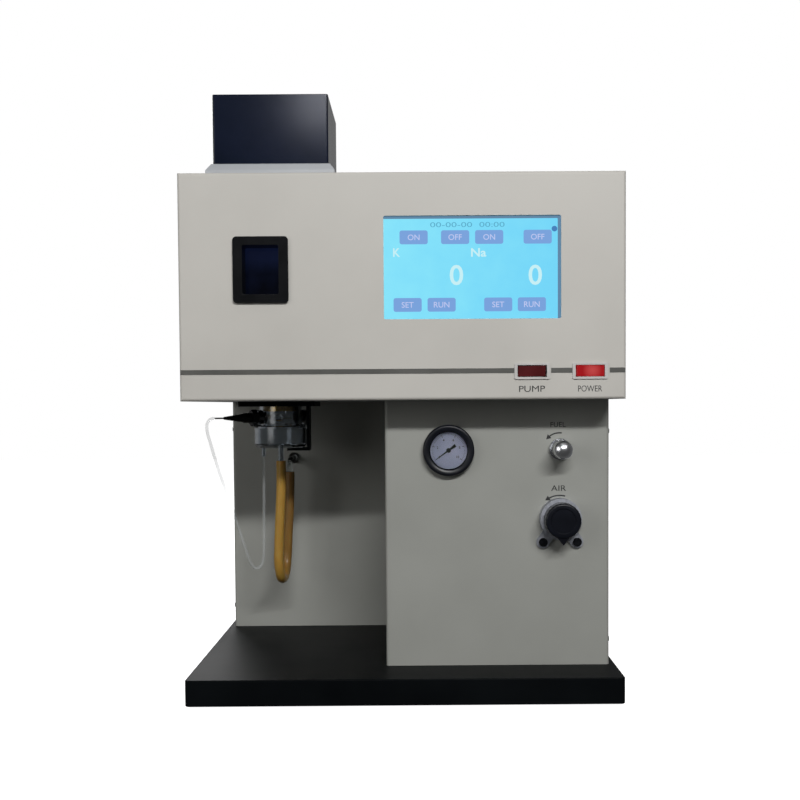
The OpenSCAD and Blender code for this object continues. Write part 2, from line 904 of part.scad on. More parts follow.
// ---- Spray chamber -----------------------------------------------------------
neck_z0 = chamber_top - neck_h;
bowl_z0 = neck_z0 - bowl_h;
nebuliser_z = neck_z0 + 6.5;
port_r = 6;
port_boss_r = 8;
port_end = neck_r + 5;
spigot_r = 3;
nipple_r = 2.2;
nipple_l = 9;
nipple_at = [-17, -6];
bowl_edge = 3;

module spray_chamber() {
  color(clear_plastic)
    difference() {
      union() {
        on_burner(neck_z0)
          cylinder(r = neck_r, h = neck_h);
        on_burner(bowl_z0)
          cylinder(r1 = bowl_r - bowl_edge, r2 = bowl_r, h = bowl_edge);
        on_burner(bowl_z0 + bowl_edge)
          cylinder(r = bowl_r, h = bowl_h - 2 * bowl_edge);
        on_burner(neck_z0 - bowl_edge)
          cylinder(r1 = bowl_r, r2 = bowl_r - bowl_edge, h = bowl_edge);
        along_nebuliser(neck_r - bowl_wall)
          cylinder(r = port_boss_r, h = port_end - neck_r + bowl_wall);
        along_nebuliser(-port_end)
          cylinder(r = port_boss_r, h = port_end - neck_r + bowl_wall);
        on_burner(bowl_z0 - drain_spigot_l)
          cylinder(r = spigot_r, h = drain_spigot_l + 1);
        translate([burner_x + nipple_at[0], burner_y + nipple_at[1], bowl_z0 - nipple_l])
          cylinder(r = nipple_r, h = nipple_l + 1);
      }
      on_burner(bowl_z0 + bowl_wall)
        cylinder(r = bowl_r - bowl_wall, h = bowl_h - 2 * bowl_wall);
      on_burner(bowl_z0 + bowl_wall)
        cylinder(r = neck_r - bowl_wall, h = bowl_h + neck_h);
      on_burner(bowl_z0 - drain_spigot_l - 1)
        cylinder(r = spigot_r - 1.2, h = drain_spigot_l + bowl_wall + 2);
      translate([burner_x + nipple_at[0], burner_y + nipple_at[1], bowl_z0 - nipple_l - 1])
        cylinder(r = nipple_r - 1, h = nipple_l + bowl_wall + 2);
      along_nebuliser(5)
        cylinder(r = port_r, h = port_end);
      along_nebuliser(-port_end - 1)
        cylinder(r = port_r, h = port_end - 4);
    }
}

module side_plug() {
  color(rubber_black)
    difference() {
      union() {
        along_nebuliser(-port_end - 3)
          cylinder(r = port_boss_r, h = 3);
        along_nebuliser(-port_end)
          cylinder(r = port_r - 0.05, h = port_end - neck_r + bowl_wall);
      }
      along_nebuliser(-port_end)
        cylinder(r = bead_rod_r + 0.03, h = port_end);
    }
}

bead_rod_r = 1;
module impact_bead() {
  bead_r = 4;
  bead_at = 2;
  color([0.85, 0.9, 0.92, 0.5]) {
    along_nebuliser(bead_at)
      sphere(r = bead_r);
    along_nebuliser(-port_end)
      cylinder(r = bead_rod_r, h = port_end + bead_at);
  }
}

module chamber_bracket() {
  strap_t = 3;
  strap_w = 18;
  strap_x = burner_x + bowl_r + 1;
  arm_x = burner_x + 8;
  y0 = burner_y - strap_w + 4;
  color(black_paint) {
    translate([strap_x, y0, bowl_z0 - strap_t])
      cube([strap_t, strap_w, chamber_top - bowl_z0 + strap_t]);
    translate([arm_x, y0, bowl_z0 - strap_t])
      cube([strap_x - arm_x + 1, strap_w, strap_t]);
  }
}

needle_r = 0.8;
needle_tip = 71.5;
cone_end = 62;
air_port_at = 37;
air_port_l = 11;

module nebuliser_body() {
  color(black_paint)
    difference() {
      union() {
        along_nebuliser(neck_r - bowl_wall - 2)
          cylinder(r = port_r - 0.05, h = port_end - neck_r + bowl_wall + 2);
        along_nebuliser(port_end)
          cylinder(r = 8.5, h = 6, $fn = 6);
        along_nebuliser(port_end + 6)
          cylinder(r = 5, h = 8);
        along_nebuliser(port_end + 14)
          cylinder(r1 = 4.4, r2 = 1.4, h = cone_end - port_end - 14);
        along_nebuliser(air_port_at)
          rotate([90, 0, 0])
            cylinder(r = 2.5, h = air_port_l);
      }
      along_nebuliser(0)
        cylinder(r = needle_r + 0.05, h = needle_tip);
    }
}

module nebuliser_needle() {
  color(steel)
    along_nebuliser(neck_r - bowl_wall - 4)
      cylinder(r = needle_r, h = needle_tip - neck_r + bowl_wall + 4);
}

// ---- Tubes and pipes ---------------------------------------------------------
waste_x = burner_x + 4;
waste_z = chamber_top - 57;
waste_r = 3;
waste_y = 15;
waste_bend = 10;
waste_end_z = 202;
drain_route = beside(burner_x, burner_y, [
  [0, 0, 216], [0, 0, 200], [-0.6, 0, 180], [-1.6, 0, 160], [-2.6, 0, 140],
  [-3.2, 0, 124], [-3.5, 0, 113], [-3, 3, 102], [-2.5, 11, 94], [-1.8, 22, 91],
  [-1, 33, 94], [-0.4, 41, 102], [0.2, 44, 113], [0.8, 44, 124], [1.6, 44, 140],
  [2.8, 44, 160], [3.6, 44, 180], [4, 44, 202]
]);
sample_route = beside(burner_x, burner_y, [
  [-61, -38, 260.5], [-63.5, -39.5, 260.2], [-66, -41, 258.4], [-67.6, -42, 255.4],
  [-68, -42.2, 252], [-67.4, -42, 246], [-64.5, -40, 234], [-60, -37, 216],
  [-54, -33, 195], [-48, -29, 175], [-42.5, -24.5, 155], [-38, -20, 138],
  [-34.5, -15.5, 124], [-31.5, -11, 113.5], [-28.5, -8, 108], [-25, -6.5, 106],
  [-21.5, -6, 108], [-19.2, -6, 113], [-18.2, -6, 122], [-17.8, -6, 136],
  [-17.6, -6, 152], [-17.4, -6, 168], [-17.2, -6, 184], [-17, -6, 200],
  [-17, -6, 221]
]);

module drain_hose() {
  color([0.72, 0.58, 0.28])
    route_tube(drain_route, drain_hose_r, 12, [1, 0, 0]);
}

module sample_tube() {
  color([0.85, 0.88, 0.9, 0.5])
    route_tube(sample_route, sample_tube_r, 8, [0.6, -0.8, 0]);
}

module waste_elbow() {
  inside = 20;
  color([0.85, 0.9, 0.92, 0.5]) {
    bar_y(waste_x, waste_y + waste_bend, waste_z, waste_r, bay_y + inside - waste_y - waste_bend);
    translate([waste_x, waste_y + waste_bend, waste_z - waste_bend])
      rotate([90, 0, -90])
        rotate_extrude(angle = 90)
          translate([waste_bend, 0])
            circle(waste_r);
    translate([waste_x, waste_y, waste_end_z])
      cylinder(r = waste_r, h = waste_z - waste_bend - waste_end_z);
    bar_y(waste_x, bay_y - 3, waste_z, waste_r + 3, 3);
  }
}

// Rigid pipes: nebuliser air, burner gas, the two supplies and the gauge line
supply_z = 110;
air_inlet_x = knob_x - 85.5;
gas_inlet_x = knob_x - 40.5;
air_pipe_x = burner_x - 32;
fuel_port_y = panel_y + 18;
regulator_port_y = panel_y + 28;
regulator_r = 17;
regulator_l = 45;
valve_r = 8;
valve_l = 34;
port_l = 10;
air_pipe_route = concat(
  beside(burner_x, 0, [
    [-37.2, -39.2, 260.5], [-39.2, -36, 260.5], [-39.5, -31, 260.5], [-37.5, -23, 260.5],
    [-34.5, -13, 260.5], [-32.5, 0, 260.5], [-32, 20, 260.5], [-32, 90, 260.5],
    [-28, 104, 260.5], [-12, 112, 260.5]
  ]),
  [[0, 112, 260.5]],
  beside(knob_x, 0, [
    [-20.5, 112, 258], [-5.5, 106, 250], [0, 92, 235], [0, 72, 200], [0, 55, 178],
    [0, 36, 168], [0, 10, 165.5], [0, -76.5, 165.5]
  ])
);
fuel_pipe_route = concat(
  beside(knob_x, 0, [
    [0, -115, 248.7], [0, -115, 280], [-1.5, -114, 291], [-7.5, -111, 296], [-20.5, -106, 297]
  ]),
  [[25, -62, 297], [0, -54, 297]],
  beside(burner_x, 0, [
    [103, -52, 297], [83, -46, 297], [68, -35, 297], [53, -29.5, 297], [38, -29, 297],
    [17, -29, 297]
  ])
);
air_supply_route = beside(knob_x, 0, [
  [0, -105, 139], [0, -105, 125], [-1.5, -100, 116], [-7.5, -88, 111], [-20.5, -60, 110],
  [-79.5, 115, 110], [-84.5, 128, 110], [-85.5, 138, 110], [-85.5, 146, 110]
]);
gas_supply_route = beside(knob_x, 0, [
  [0, -115, 212.3], [0, -114.7, 207], [0, -112, 202], [0, -105, 197], [0, -92, 194],
  [-1.5, -70, 190], [-7.5, -20, 176], [-35.5, 110, 118], [-39.5, 126, 112], [-40.5, 138, 110],
  [-40.5, 146, 110]
]);
gauge_route = concat(
  beside(gauge_x, 0, [
    [0, -94, 230], [0, -84, 230], [2.5, -76, 228], [10.5, -72, 222], [22.5, -76, 212]
  ]),
  beside(knob_x, 0, [
    [-47.5, -98, 178], [-39.5, -103, 170], [-33.5, -105, 166], [-26.5, -105, 165.5]
  ])
);

module feed_pipes() {
  color(brass)
    for (p = [air_pipe_route, fuel_pipe_route, air_supply_route, gas_supply_route, gauge_route])
      route_tube(p, pipe_r, 8, [0.2, 0.3, 0.93]);
}

// ---- Optics ------------------------------------------------------------------
lens_r = 15;
lens_wall = 1.5;
block_gap = 36;
block_l = 52;
block_d = 56;
cell_r = 10;
filter_t = 2;
box_side_x = burner_x + burner_box_w / 2;
block_x = box_side_x + block_gap;
side_cell_x = block_x + 22;

module lens_tube() {
  color(black_paint)
    difference() {
      bar_x(box_side_x, burner_y, window_z, lens_r, block_x - box_side_x);
      bar_x(box_side_x - 1, burner_y, window_z, lens_r - lens_wall, block_x - box_side_x + 2);
    }
  color([0.85, 0.92, 0.95, 0.4])
    bar_x(box_side_x + 8, burner_y, window_z, lens_r - lens_wall, 4);
}

module detector_block() {
  color([0.2, 0.2, 0.22])
    difference() {
      union() {
        translate([block_x, burner_y - block_d / 2, window_z - block_d / 2])
          cube([block_l, block_d, block_d]);
        translate([block_x + 10, burner_y - 15, floor_z1])
          cube([block_l - 20, 30, window_z - block_d / 2 - floor_z1]);
      }
      bar_x(block_x - 1, burner_y, window_z, cell_r, block_l + 2);
      bar_y(side_cell_x, burner_y, window_z, cell_r, block_d);
    }
}

module colour_filters() {
  color([0.9, 0.55, 0.15, 0.7])
    bar_x(block_x + block_l - 20, burner_y, window_z, cell_r, filter_t);
  color([0.6, 0.1, 0.1, 0.7])
    bar_y(side_cell_x, burner_y + block_d / 2 - 16, window_z, cell_r, filter_t);
}

module photocells() {
  color(steel) {
    bar_x(block_x + block_l - 20 + filter_t, burner_y, window_z, cell_r, 24);
    bar_y(side_cell_x, burner_y + block_d / 2 - 16 + filter_t, window_z, cell_r, 22);
  }
}

// ---- Display -----------------------------------------------------------------
display_rim = 6;
display_back = front_y + front_t;
touch_y = display_back + gasket_t;
module_y = touch_y + touch_glass_t;
display_w = screen_w + 2 * display_rim;
display_h = screen_h + 2 * display_rim;

module display_gasket() {
  color(rubber_black)
    difference() {
      front_block(screen_x, display_back, screen_z, display_w, display_h, gasket_t);
      front_block(screen_x, display_back - 1, screen_z, screen_w + 1, screen_h + 1, gasket_t + 2);
    }
}

module touch_glass() {
  color([0.5, 0.82, 0.95])
    front_block(screen_x, touch_y, screen_z, display_w, display_h, touch_glass_t);
}

module display_module() {
  ear_x = display_w / 2 + 6;
  ear_z = display_h / 2 - 12;
  color(steel)
    difference() {
      union() {
        front_block(screen_x, module_y, screen_z, display_w, display_h, module_t);
        for (side = [-1, 1], up = [-1, 1]) {
          front_block(screen_x + side * ear_x, module_y + module_t - 2, screen_z + up * ear_z,
                      14, 10, 2);
          bar_y(screen_x + side * ear_x, display_back, screen_z + up * ear_z, 3,
                module_y + module_t - display_back);
        }
      }
      front_block(screen_x, module_y + 3, screen_z, display_w - 8, display_h - 8, module_t - 1);
    }
}

// ---- Electronics -------------------------------------------------------------
board = [140, 105, 1.6];
board_at = [head_w / 2 - 153, 5];
board_rise = 8;
post_from_edge = 6;
chip = [24, 24, 3];
terminal = [20, 10, 11];
terminal_pitch = 28;
capacitor_r = 6;
capacitor_h = 18;
capacitor_pitch = 20;

module main_board() {
  board_z = floor_z1 + board_rise;
  color([0.05, 0.3, 0.15]) {
    translate([board_at[0], board_at[1], board_z])
      cube(board);
    for (x = [post_from_edge, board[0] - post_from_edge],
         y = [post_from_edge, board[1] - post_from_edge])
      translate([board_at[0] + x, board_at[1] + y, floor_z1])
        cylinder(r = 3, h = board_rise);
    translate([board_at[0] + 50, board_at[1] + 40, board_z + board[2]])
      cube(chip);
    for (i = [0 : 3])
      translate([board_at[0] + 15 + terminal_pitch * i, board_at[1] + 90, board_z + board[2]])
        cube(terminal);
    for (i = [1 : 3])
      translate([board_at[0] + 110, board_at[1] + capacitor_pitch * i, board_z + board[2]])
        cylinder(r = capacitor_r, h = capacitor_h);
  }
}

module power_supply() {
  size = [110, 60, 38];
  at = [42 - body_w / 2, 92];
  color(steel) {
    difference() {
      translate([at[0], at[1], base_top])
        cube(size);
      for (i = [0 : 8])
        translate([at[0] + 14 + 10 * i, at[1] + 12, base_top + size[2] - 1])
          cube([4, size[1] - 24, 2]);
    }
    translate([at[0] + size[0], at[1] + 10, base_top])
      cube([12, size[1] - 20, 16]);
  }
}

// ---- Rocker switches ---------------------------------------------------------
switch_body_w = switch_w - 3.5;
switch_body_h = switch_h - 2;
rocker_w = switch_w - 7.3;
rocker_h = 9.5;
rocker_axis = 2;
rocker_pin_r = 1.2;
half_tilt = rocker_travel / 2;
rocker_tip = switch_proud + 1.5;
rocker_end = (rocker_axis + rocker_tip - rocker_w / 2 * sin(half_tilt)) / cos(half_tilt);
rocker_mid = rocker_end - rocker_w / 2 * tan(half_tilt);

module switch_bodies() {
  cavity_h = rocker_h + 1;
  cavity_d = switch_proud + rocker_axis + 9;
  color([0.75, 0.75, 0.74])
    for (x = [pump_x, power_x])
      difference() {
        union() {
          front_plate(x, front_y - switch_proud, switch_z, switch_w, switch_h, switch_proud, 1.5);
          front_block(x, front_y, switch_z, switch_body_w, switch_body_h, switch_depth);
          for (i = [-1, 0, 1])
            front_block(x + 9 * i, front_y + switch_depth, switch_z, 1, 6, 8);
        }
        front_block(x, front_y - switch_proud - 1, switch_z, rocker_w + 1.8, cavity_h,
                    cavity_d + 1);
        translate([x, front_y + rocker_axis, switch_z - cavity_h / 2 - 0.8])
          cylinder(r = rocker_pin_r + running, h = cavity_h + 1.6);
      }
}

// A rocker about its own pivot, which is upright; tilt is positive when its right end is out
module rocker(x, tilt) {
  half = rocker_w / 2;
  translate([x, front_y + rocker_axis, switch_z])
    rotate([0, 0, -tilt]) {
      translate([0, 0, -rocker_h / 2])
        linear_extrude(rocker_h)
          polygon([[-half, -rocker_end], [0, -rocker_mid], [half, -rocker_end], [half, 1],
                   [5, 6], [-5, 6], [-half, 1]]);
      translate([0, 0, -rocker_h / 2 - 1.1])
        cylinder(r = rocker_pin_r, h = rocker_h + 2.2);
    }
}

module rocker_power() {
  color([0.85, 0.1, 0.1])
    rocker(power_x, -half_tilt);
}

module rocker_pump() {
  color([0.4, 0.12, 0.13])
    rocker(pump_x, half_tilt);
}

// ---- Pressure gauge ----------------------------------------------------------
gauge_case_r = gauge_r - 3.5;
gauge_case_l = 28;
gauge_front = panel_y - gauge_proud;
gauge_lip = 2;
lens_t = 1.5;
dial_y = gauge_front + gauge_lip + lens_t + 3;
dial_t = 0.8;
dial_r = gauge_case_r - 1.7;
pointer_t = 0.5;
pointer_y = dial_y - 1.4;
shaft_r = 0.8;

module gauge_case() {
  ring_t = 4;
  color([0.13, 0.14, 0.15]) {
    difference() {
      bar_y(gauge_x, gauge_front + gauge_lip, gauge_z, gauge_case_r,
            gauge_case_l + gauge_proud - gauge_lip);
      bar_y(gauge_x, gauge_front, gauge_z, dial_r + 0.1, dial_y + dial_t - gauge_front);
      bar_y(gauge_x, gauge_front, gauge_z, dial_r - 3, gauge_proud + gauge_case_l - 6);
    }
    tube_y(gauge_x, dial_y + dial_t, gauge_z, 3, shaft_r + running,
           panel_y + gauge_case_l - 5 - dial_y - dial_t);
    bar_y(gauge_x, panel_y + gauge_case_l, gauge_z, 5, 11);
    tube_y(gauge_x, panel_y + sheet, gauge_z, gauge_r, gauge_case_r - 1, ring_t);
  }
}

module gauge_bezel() {
  color([0.06, 0.07, 0.08])
    difference() {
      union() {
        bar_y(gauge_x, gauge_front + 1.5, gauge_z, gauge_r, gauge_proud - 1.5);
        translate([gauge_x, gauge_front, gauge_z])
          rotate([-90, 0, 0])
            cylinder(r1 = gauge_r - 2.5, r2 = gauge_r, h = 1.5);
      }
      bar_y(gauge_x, gauge_front - 1, gauge_z, gauge_r - 6.8, gauge_proud);
      bar_y(gauge_x, gauge_front + gauge_lip, gauge_z, gauge_case_r + 0.1, gauge_proud);
    }
}

module gauge_dial() {
  color([0.85, 0.85, 0.92])
    tube_y(gauge_x, dial_y, gauge_z, dial_r, shaft_r + running, dial_t);
}

module gauge_lens() {
  color([0.9, 0.93, 0.95, 0.25])
    bar_y(gauge_x, gauge_front + gauge_lip, gauge_z, dial_r, lens_t);
}

module gauge_pointer() {
  tip = 14.5;
  tail = 8;
  color([0.1, 0.1, 0.12]) {
    translate([gauge_x, pointer_y + pointer_t, gauge_z])
      rotate([90, 0, 0])
        rotate([0, 0, pointer_rest])
          linear_extrude(pointer_t) {
            polygon([[-tail, -1.5], [-2, -0.9], [tip, -0.25], [tip, 0.25], [-2, 0.9],
                     [-tail, 1.5]]);
            circle(2.2);
          }
    bar_y(gauge_x, pointer_y - 0.4, gauge_z, 1.4, 0.5);
    bar_y(gauge_x, pointer_y, gauge_z, shaft_r, 12);
  }
}

// ---- Fuel valve --------------------------------------------------------------
bushing_r = 6;
nut_r = 10;
nut_t = 5;
knob_gap = 0.6;

module fuel_valve_body() {
  color(brass) {
    difference() {
      union() {
        bar_y(knob_x, panel_y + sheet, fuel_z, valve_r + 3, 8);
        bar_y(knob_x, panel_y + sheet, fuel_z, valve_r, valve_l);
        bar_y(knob_x, panel_y - nut_t, fuel_z, bushing_r, nut_t + sheet + 1);
        translate([knob_x, fuel_port_y, fuel_z - valve_r - port_l])
          cylinder(r = 4, h = 2 * (valve_r + port_l));
      }
      bar_y(knob_x, panel_y - nut_t - 1, fuel_z, fuel_stem_r + running, 24);
    }
  }
  color(steel)
    tube_y(knob_x, panel_y - nut_t, fuel_z, nut_r, bushing_r, nut_t);
}

module fuel_knob() {
  back_y = panel_y - nut_t - knob_gap;
  dome_h = 4;
  color([0.85, 0.86, 0.88]) {
    bar_y(knob_x, back_y - fuel_knob_l + dome_h, fuel_z, fuel_knob_r, fuel_knob_l - dome_h);
    translate([knob_x, back_y - fuel_knob_l, fuel_z])
      rotate([-90, 0, 0])
        cylinder(r1 = fuel_knob_r - dome_h, r2 = fuel_knob_r, h = dome_h);
    bar_y(knob_x, back_y - 1, fuel_z, fuel_stem_r, nut_t + knob_gap + 18);
  }
}

// ---- Air regulator -----------------------------------------------------------
bonnet_r = 12;
lug_x = 16;
lug_drop = 22;
lug_r = 6;
lug_t = 3;
collar_front = panel_y - collar_l;

module regulator_body() {
  color([0.15, 0.15, 0.16]) {
    difference() {
      union() {
        bar_y(knob_x, panel_y + sheet, air_z, regulator_r, regulator_l);
        bar_y(knob_x, collar_front + 3, air_z, bonnet_r, collar_l + sheet - 2);
        bar_y(knob_x, panel_y + sheet + regulator_l, air_z, 4, port_l);
        bar_x(knob_x - regulator_r - port_l + 1, regulator_port_y, air_z, 4, port_l);
        translate([knob_x, regulator_port_y, air_z - regulator_r - port_l + 1])
          cylinder(r = 4, h = port_l);
      }
      bar_y(knob_x, collar_front, air_z, air_stem_r + running, collar_l + 20);
    }
    for (side = [-1, 1]) {
      bar_y(knob_x + side * lug_x, panel_y - lug_t - 3, air_z - lug_drop, 4, 3);
      bar_y(knob_x + side * lug_x, panel_y - lug_t, air_z - lug_drop, screw_r, lug_t + 10);
    }
  }
}

module dial_collar() {
  collar_t = 2;
  reach = sqrt(lug_x * lug_x + lug_drop * lug_drop);
  color([0.7, 0.71, 0.75])
    difference() {
      union() {
        bar_y(knob_x, collar_front, air_z, collar_r, collar_l);
        for (side = [-1, 1]) {
          bar_y(knob_x + side * lug_x, panel_y - lug_t, air_z - lug_drop, lug_r, lug_t);
          translate([knob_x, panel_y - lug_t, air_z])
            rotate([0, side > 0 ? atan2(lug_drop, lug_x) : 180 - atan2(lug_drop, lug_x), 0])
              translate([0, 0, -lug_r])
                cube([reach, lug_t, 2 * lug_r]);
        }
      }
      bar_y(knob_x, collar_front + collar_t, air_z, collar_r - collar_t, collar_l);
      bar_y(knob_x, collar_front - 1, air_z, air_stem_r + 1.5, collar_l);
      for (side = [-1, 1])
        bar_y(knob_x + side * lug_x, panel_y - lug_t - 1, air_z - lug_drop, screw_hole_r,
              lug_t + 2);
    }
}

module air_knob() {
  back_y = collar_front - knob_gap;
  skirt_l = 5;
  nib = air_knob_r + 4;
  color([0.06, 0.06, 0.07]) {
    bar_y(knob_x, back_y - air_knob_l + 1.5, air_z, air_knob_r, air_knob_l - 1.5);
    translate([knob_x, back_y - air_knob_l, air_z])
      rotate([-90, 0, 0])
        cylinder(r1 = air_knob_r - 1.5, r2 = air_knob_r, h = 1.5);
    translate([knob_x, back_y, air_z])
      rotate([90, 0, 0])
        linear_extrude(skirt_l)
          polygon([[-7, -air_knob_r + 4], [7, -air_knob_r + 4], [1, -nib], [-1, -nib]]);
    bar_y(knob_x, back_y - 1, air_z, air_stem_r, collar_l + knob_gap + 18);
  }
}

// ---- Rear --------------------------------------------------------------------
fitting_r = 5;
barb_r = 4;
barb_land = 10;
barb_tip_l = 2;
groove_depth = 0.8;
groove_w = 1.2;
hex_r = 8;
hex_t = 5;
hose_bore = pipe_r;
pipe_nut_r = 3.5;
pipe_nut_l = 8;
inner_nut_l = 12;
mains_x = body_w / 2 - 42;
mains_z = 78;
mains_w = 36;
mains_h = 54;
mains_t = 3;
mains_body_w = 27;
mains_body_h = 46;
mains_depth = 30;
socket_w = 24.4;
socket_h = 16.6;
socket_z = mains_z - 10;
drawer_w = 21;
drawer_h = 10;
drawer_z = mains_z + 14;
drawer_l = 24;
inlet_front = rear_y + mains_t;
socket_depth = 17;
pin = [2, 14, 4];
pin_spread = 7;

module rear_fittings() {
  barb_end = base_d / 2 + bezel_proud;
  barb_y0 = rear_y + hex_t;
  pipe_nut_y = rear_y - 19;
  color(brass)
    for (x = [air_inlet_x, gas_inlet_x])
      difference() {
        union() {
          bar_y(x, pipe_nut_y, supply_z, pipe_nut_r, pipe_nut_l);
          hex_y(x, rear_y - sheet - hex_t, supply_z, hex_r, hex_t);
          bar_y(x, rear_y - inner_nut_l, supply_z, fitting_r, inner_nut_l);
          hex_y(x, rear_y, supply_z, hex_r, hex_t);
          bar_y(x, barb_y0, supply_z, barb_r, barb_end - barb_tip_l - barb_y0);
          translate([x, barb_end - barb_tip_l, supply_z])
            rotate([-90, 0, 0])
              cylinder(r1 = barb_r, r2 = barb_r - 1, h = barb_tip_l);
        }
        for (i = [0, 1])
          tube_y(x, barb_y0 + barb_land + 0.6 + 2 * groove_w * i, supply_z, barb_r + 1,
                 barb_r - groove_depth, groove_w);
        bar_y(x, rear_y - 10, supply_z, hose_bore, barb_end);
      }
}

module mains_inlet() {
  color([0.1, 0.1, 0.1])
    difference() {
      union() {
        front_plate(mains_x, rear_y, mains_z, mains_w, mains_h, mains_t, 3);
        front_block(mains_x, inlet_front - mains_depth, mains_z, mains_body_w, mains_body_h,
                    mains_depth - mains_t);
      }
      front_plate(mains_x, inlet_front - socket_depth, socket_z, socket_w, socket_h,
                  socket_depth + 1, 2);
      front_block(mains_x, inlet_front - drawer_l - 0.5, drawer_z, drawer_w + drop_in,
                  drawer_h + drop_in, drawer_l + 2);
    }
  color(steel) {
    for (place = [[-pin_spread, -2], [pin_spread, -2], [0, 2.5]])
      front_block(mains_x + place[0], inlet_front - socket_depth, socket_z + place[1], pin[0],
                  pin[2], pin[1]);
  }
}

module fuse_drawer() {
  fuse_r = 2.6;
  fuse_l = 18;
  fuse_y = inlet_front - drawer_l / 2;
  color([0.14, 0.14, 0.14])
    difference() {
      front_block(mains_x, inlet_front - drawer_l, drawer_z, drawer_w, drawer_h, drawer_l + 1);
      front_block(mains_x, inlet_front - drawer_l + 2, drawer_z + 3, drawer_w - 3, drawer_h,
                  drawer_l - 5);
      front_block(mains_x, inlet_front - 1, drawer_z - 3, 8, 2, 3);
    }
  color([0.85, 0.9, 0.92, 0.5])
    bar_x(mains_x - fuse_l / 2, fuse_y, drawer_z + 1, fuse_r, fuse_l);
}

base_tray();
bottom_plate();
rubber_feet();
case_screws();
frame_posts();
column_shell();
housing_shell();
rear_panel();
head_floor();
head_front_panel();
head_cover();
head_rear_panel();
trim_stripe();
window_bezel();
window_glass();
view_tunnel();
burner_box();
burner_plate();
burner_tube();
burner_head();
lamp_glass();
igniter();
flue_tube();
chimney_collar();
chimney_shroud();
spray_chamber();
side_plug();
impact_bead();
chamber_bracket();
nebuliser_body();
nebuliser_needle();
feed_pipes();
drain_hose();
waste_elbow();
sample_tube();
lens_tube();
detector_block();
colour_filters();
photocells();
display_gasket();
touch_glass();
display_module();
main_board();
power_supply();
switch_bodies();
rocker_power();
rocker_pump();
gauge_case();
gauge_bezel();
gauge_dial();
gauge_pointer();
gauge_lens();
fuel_valve_body();
fuel_knob();
regulator_body();
dial_collar();
air_knob();
rear_fittings();
mains_inlet();
fuse_drawer();
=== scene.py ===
import json
import math

import bpy
from mathutils import Matrix, Vector


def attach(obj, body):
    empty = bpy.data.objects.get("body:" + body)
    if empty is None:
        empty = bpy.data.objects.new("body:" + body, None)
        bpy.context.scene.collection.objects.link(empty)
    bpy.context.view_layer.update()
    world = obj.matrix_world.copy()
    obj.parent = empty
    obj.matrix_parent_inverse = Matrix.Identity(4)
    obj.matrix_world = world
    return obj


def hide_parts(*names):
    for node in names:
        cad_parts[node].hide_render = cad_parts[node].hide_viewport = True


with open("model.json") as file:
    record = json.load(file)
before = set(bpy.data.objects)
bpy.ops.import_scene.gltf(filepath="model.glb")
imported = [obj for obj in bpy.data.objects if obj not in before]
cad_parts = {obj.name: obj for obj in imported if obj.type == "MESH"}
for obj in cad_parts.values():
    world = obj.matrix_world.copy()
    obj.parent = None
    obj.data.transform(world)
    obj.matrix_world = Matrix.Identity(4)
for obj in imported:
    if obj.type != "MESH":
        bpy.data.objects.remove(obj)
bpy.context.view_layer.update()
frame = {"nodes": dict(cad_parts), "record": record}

mm = 0.001
nodes = frame["nodes"]


# Camera: fitted to the edges of the photograph, so the lens is shifted a little
cameraSetup = {
    "place": (10.86, -1164.35, 272.48),  # mm
    "yaw": -0.00353,  # radians
    "pitch": -0.03849,
    "roll": 0.0064,
    "sensor": 36,  # mm
    "lens": 49.617,
    "shift": (-0.02452, 0.05937),
    "clip": (0.05, 20),  # m
}


def addCamera(setup):
    view = bpy.data.cameras.new("camera")
    view.sensor_width = setup["sensor"]
    view.lens = setup["lens"]
    view.shift_x, view.shift_y = setup["shift"]
    view.clip_start, view.clip_end = setup["clip"]
    camera = bpy.data.objects.new("camera", view)
    bpy.context.scene.collection.objects.link(camera)
    turn = (
        Matrix.Rotation(setup["yaw"], 3, "Z")
        @ Matrix.Rotation(setup["pitch"], 3, "X")
        @ Matrix.Rotation(setup["roll"], 3, "Y")
    )
    right, forward, up = turn.col
    camera.matrix_world = Matrix.Translation(Vector(setup["place"]) * mm) @ (
        Matrix((right, up, -forward)).transposed().to_4x4()
    )
    bpy.context.scene.camera = camera


addCamera(cameraSetup)
print("camera placed")


# Materials
def linear(colour):  # sRGB hex to the linear values that the shader takes
    parts = [int(colour[i:i + 2], 16) / 255 for i in (0, 2, 4)]
    return [*[c / 12.92 if c <= 0.04045 else ((c + 0.055) / 1.055) ** 2.4 for c in parts], 1]


def addNode(tree, kind, values=None, links=None, **settings):
    node = tree.nodes.new(kind)
    for name, value in settings.items():
        setattr(node, name, value)
    for socket, value in (values or {}).items():
        node.inputs[socket].default_value = value
    for socket, source in (links or {}).items():
        tree.links.new(source, node.inputs[socket])
    return node


drift = {
    "detail": 4,  # finer patches lie within the patches, this many times
    "span": (0.3, 0.7),  # nearly all of the noise lies between these
    "gloss": 0.15,  # the roughness drifts by this share, up and down
}


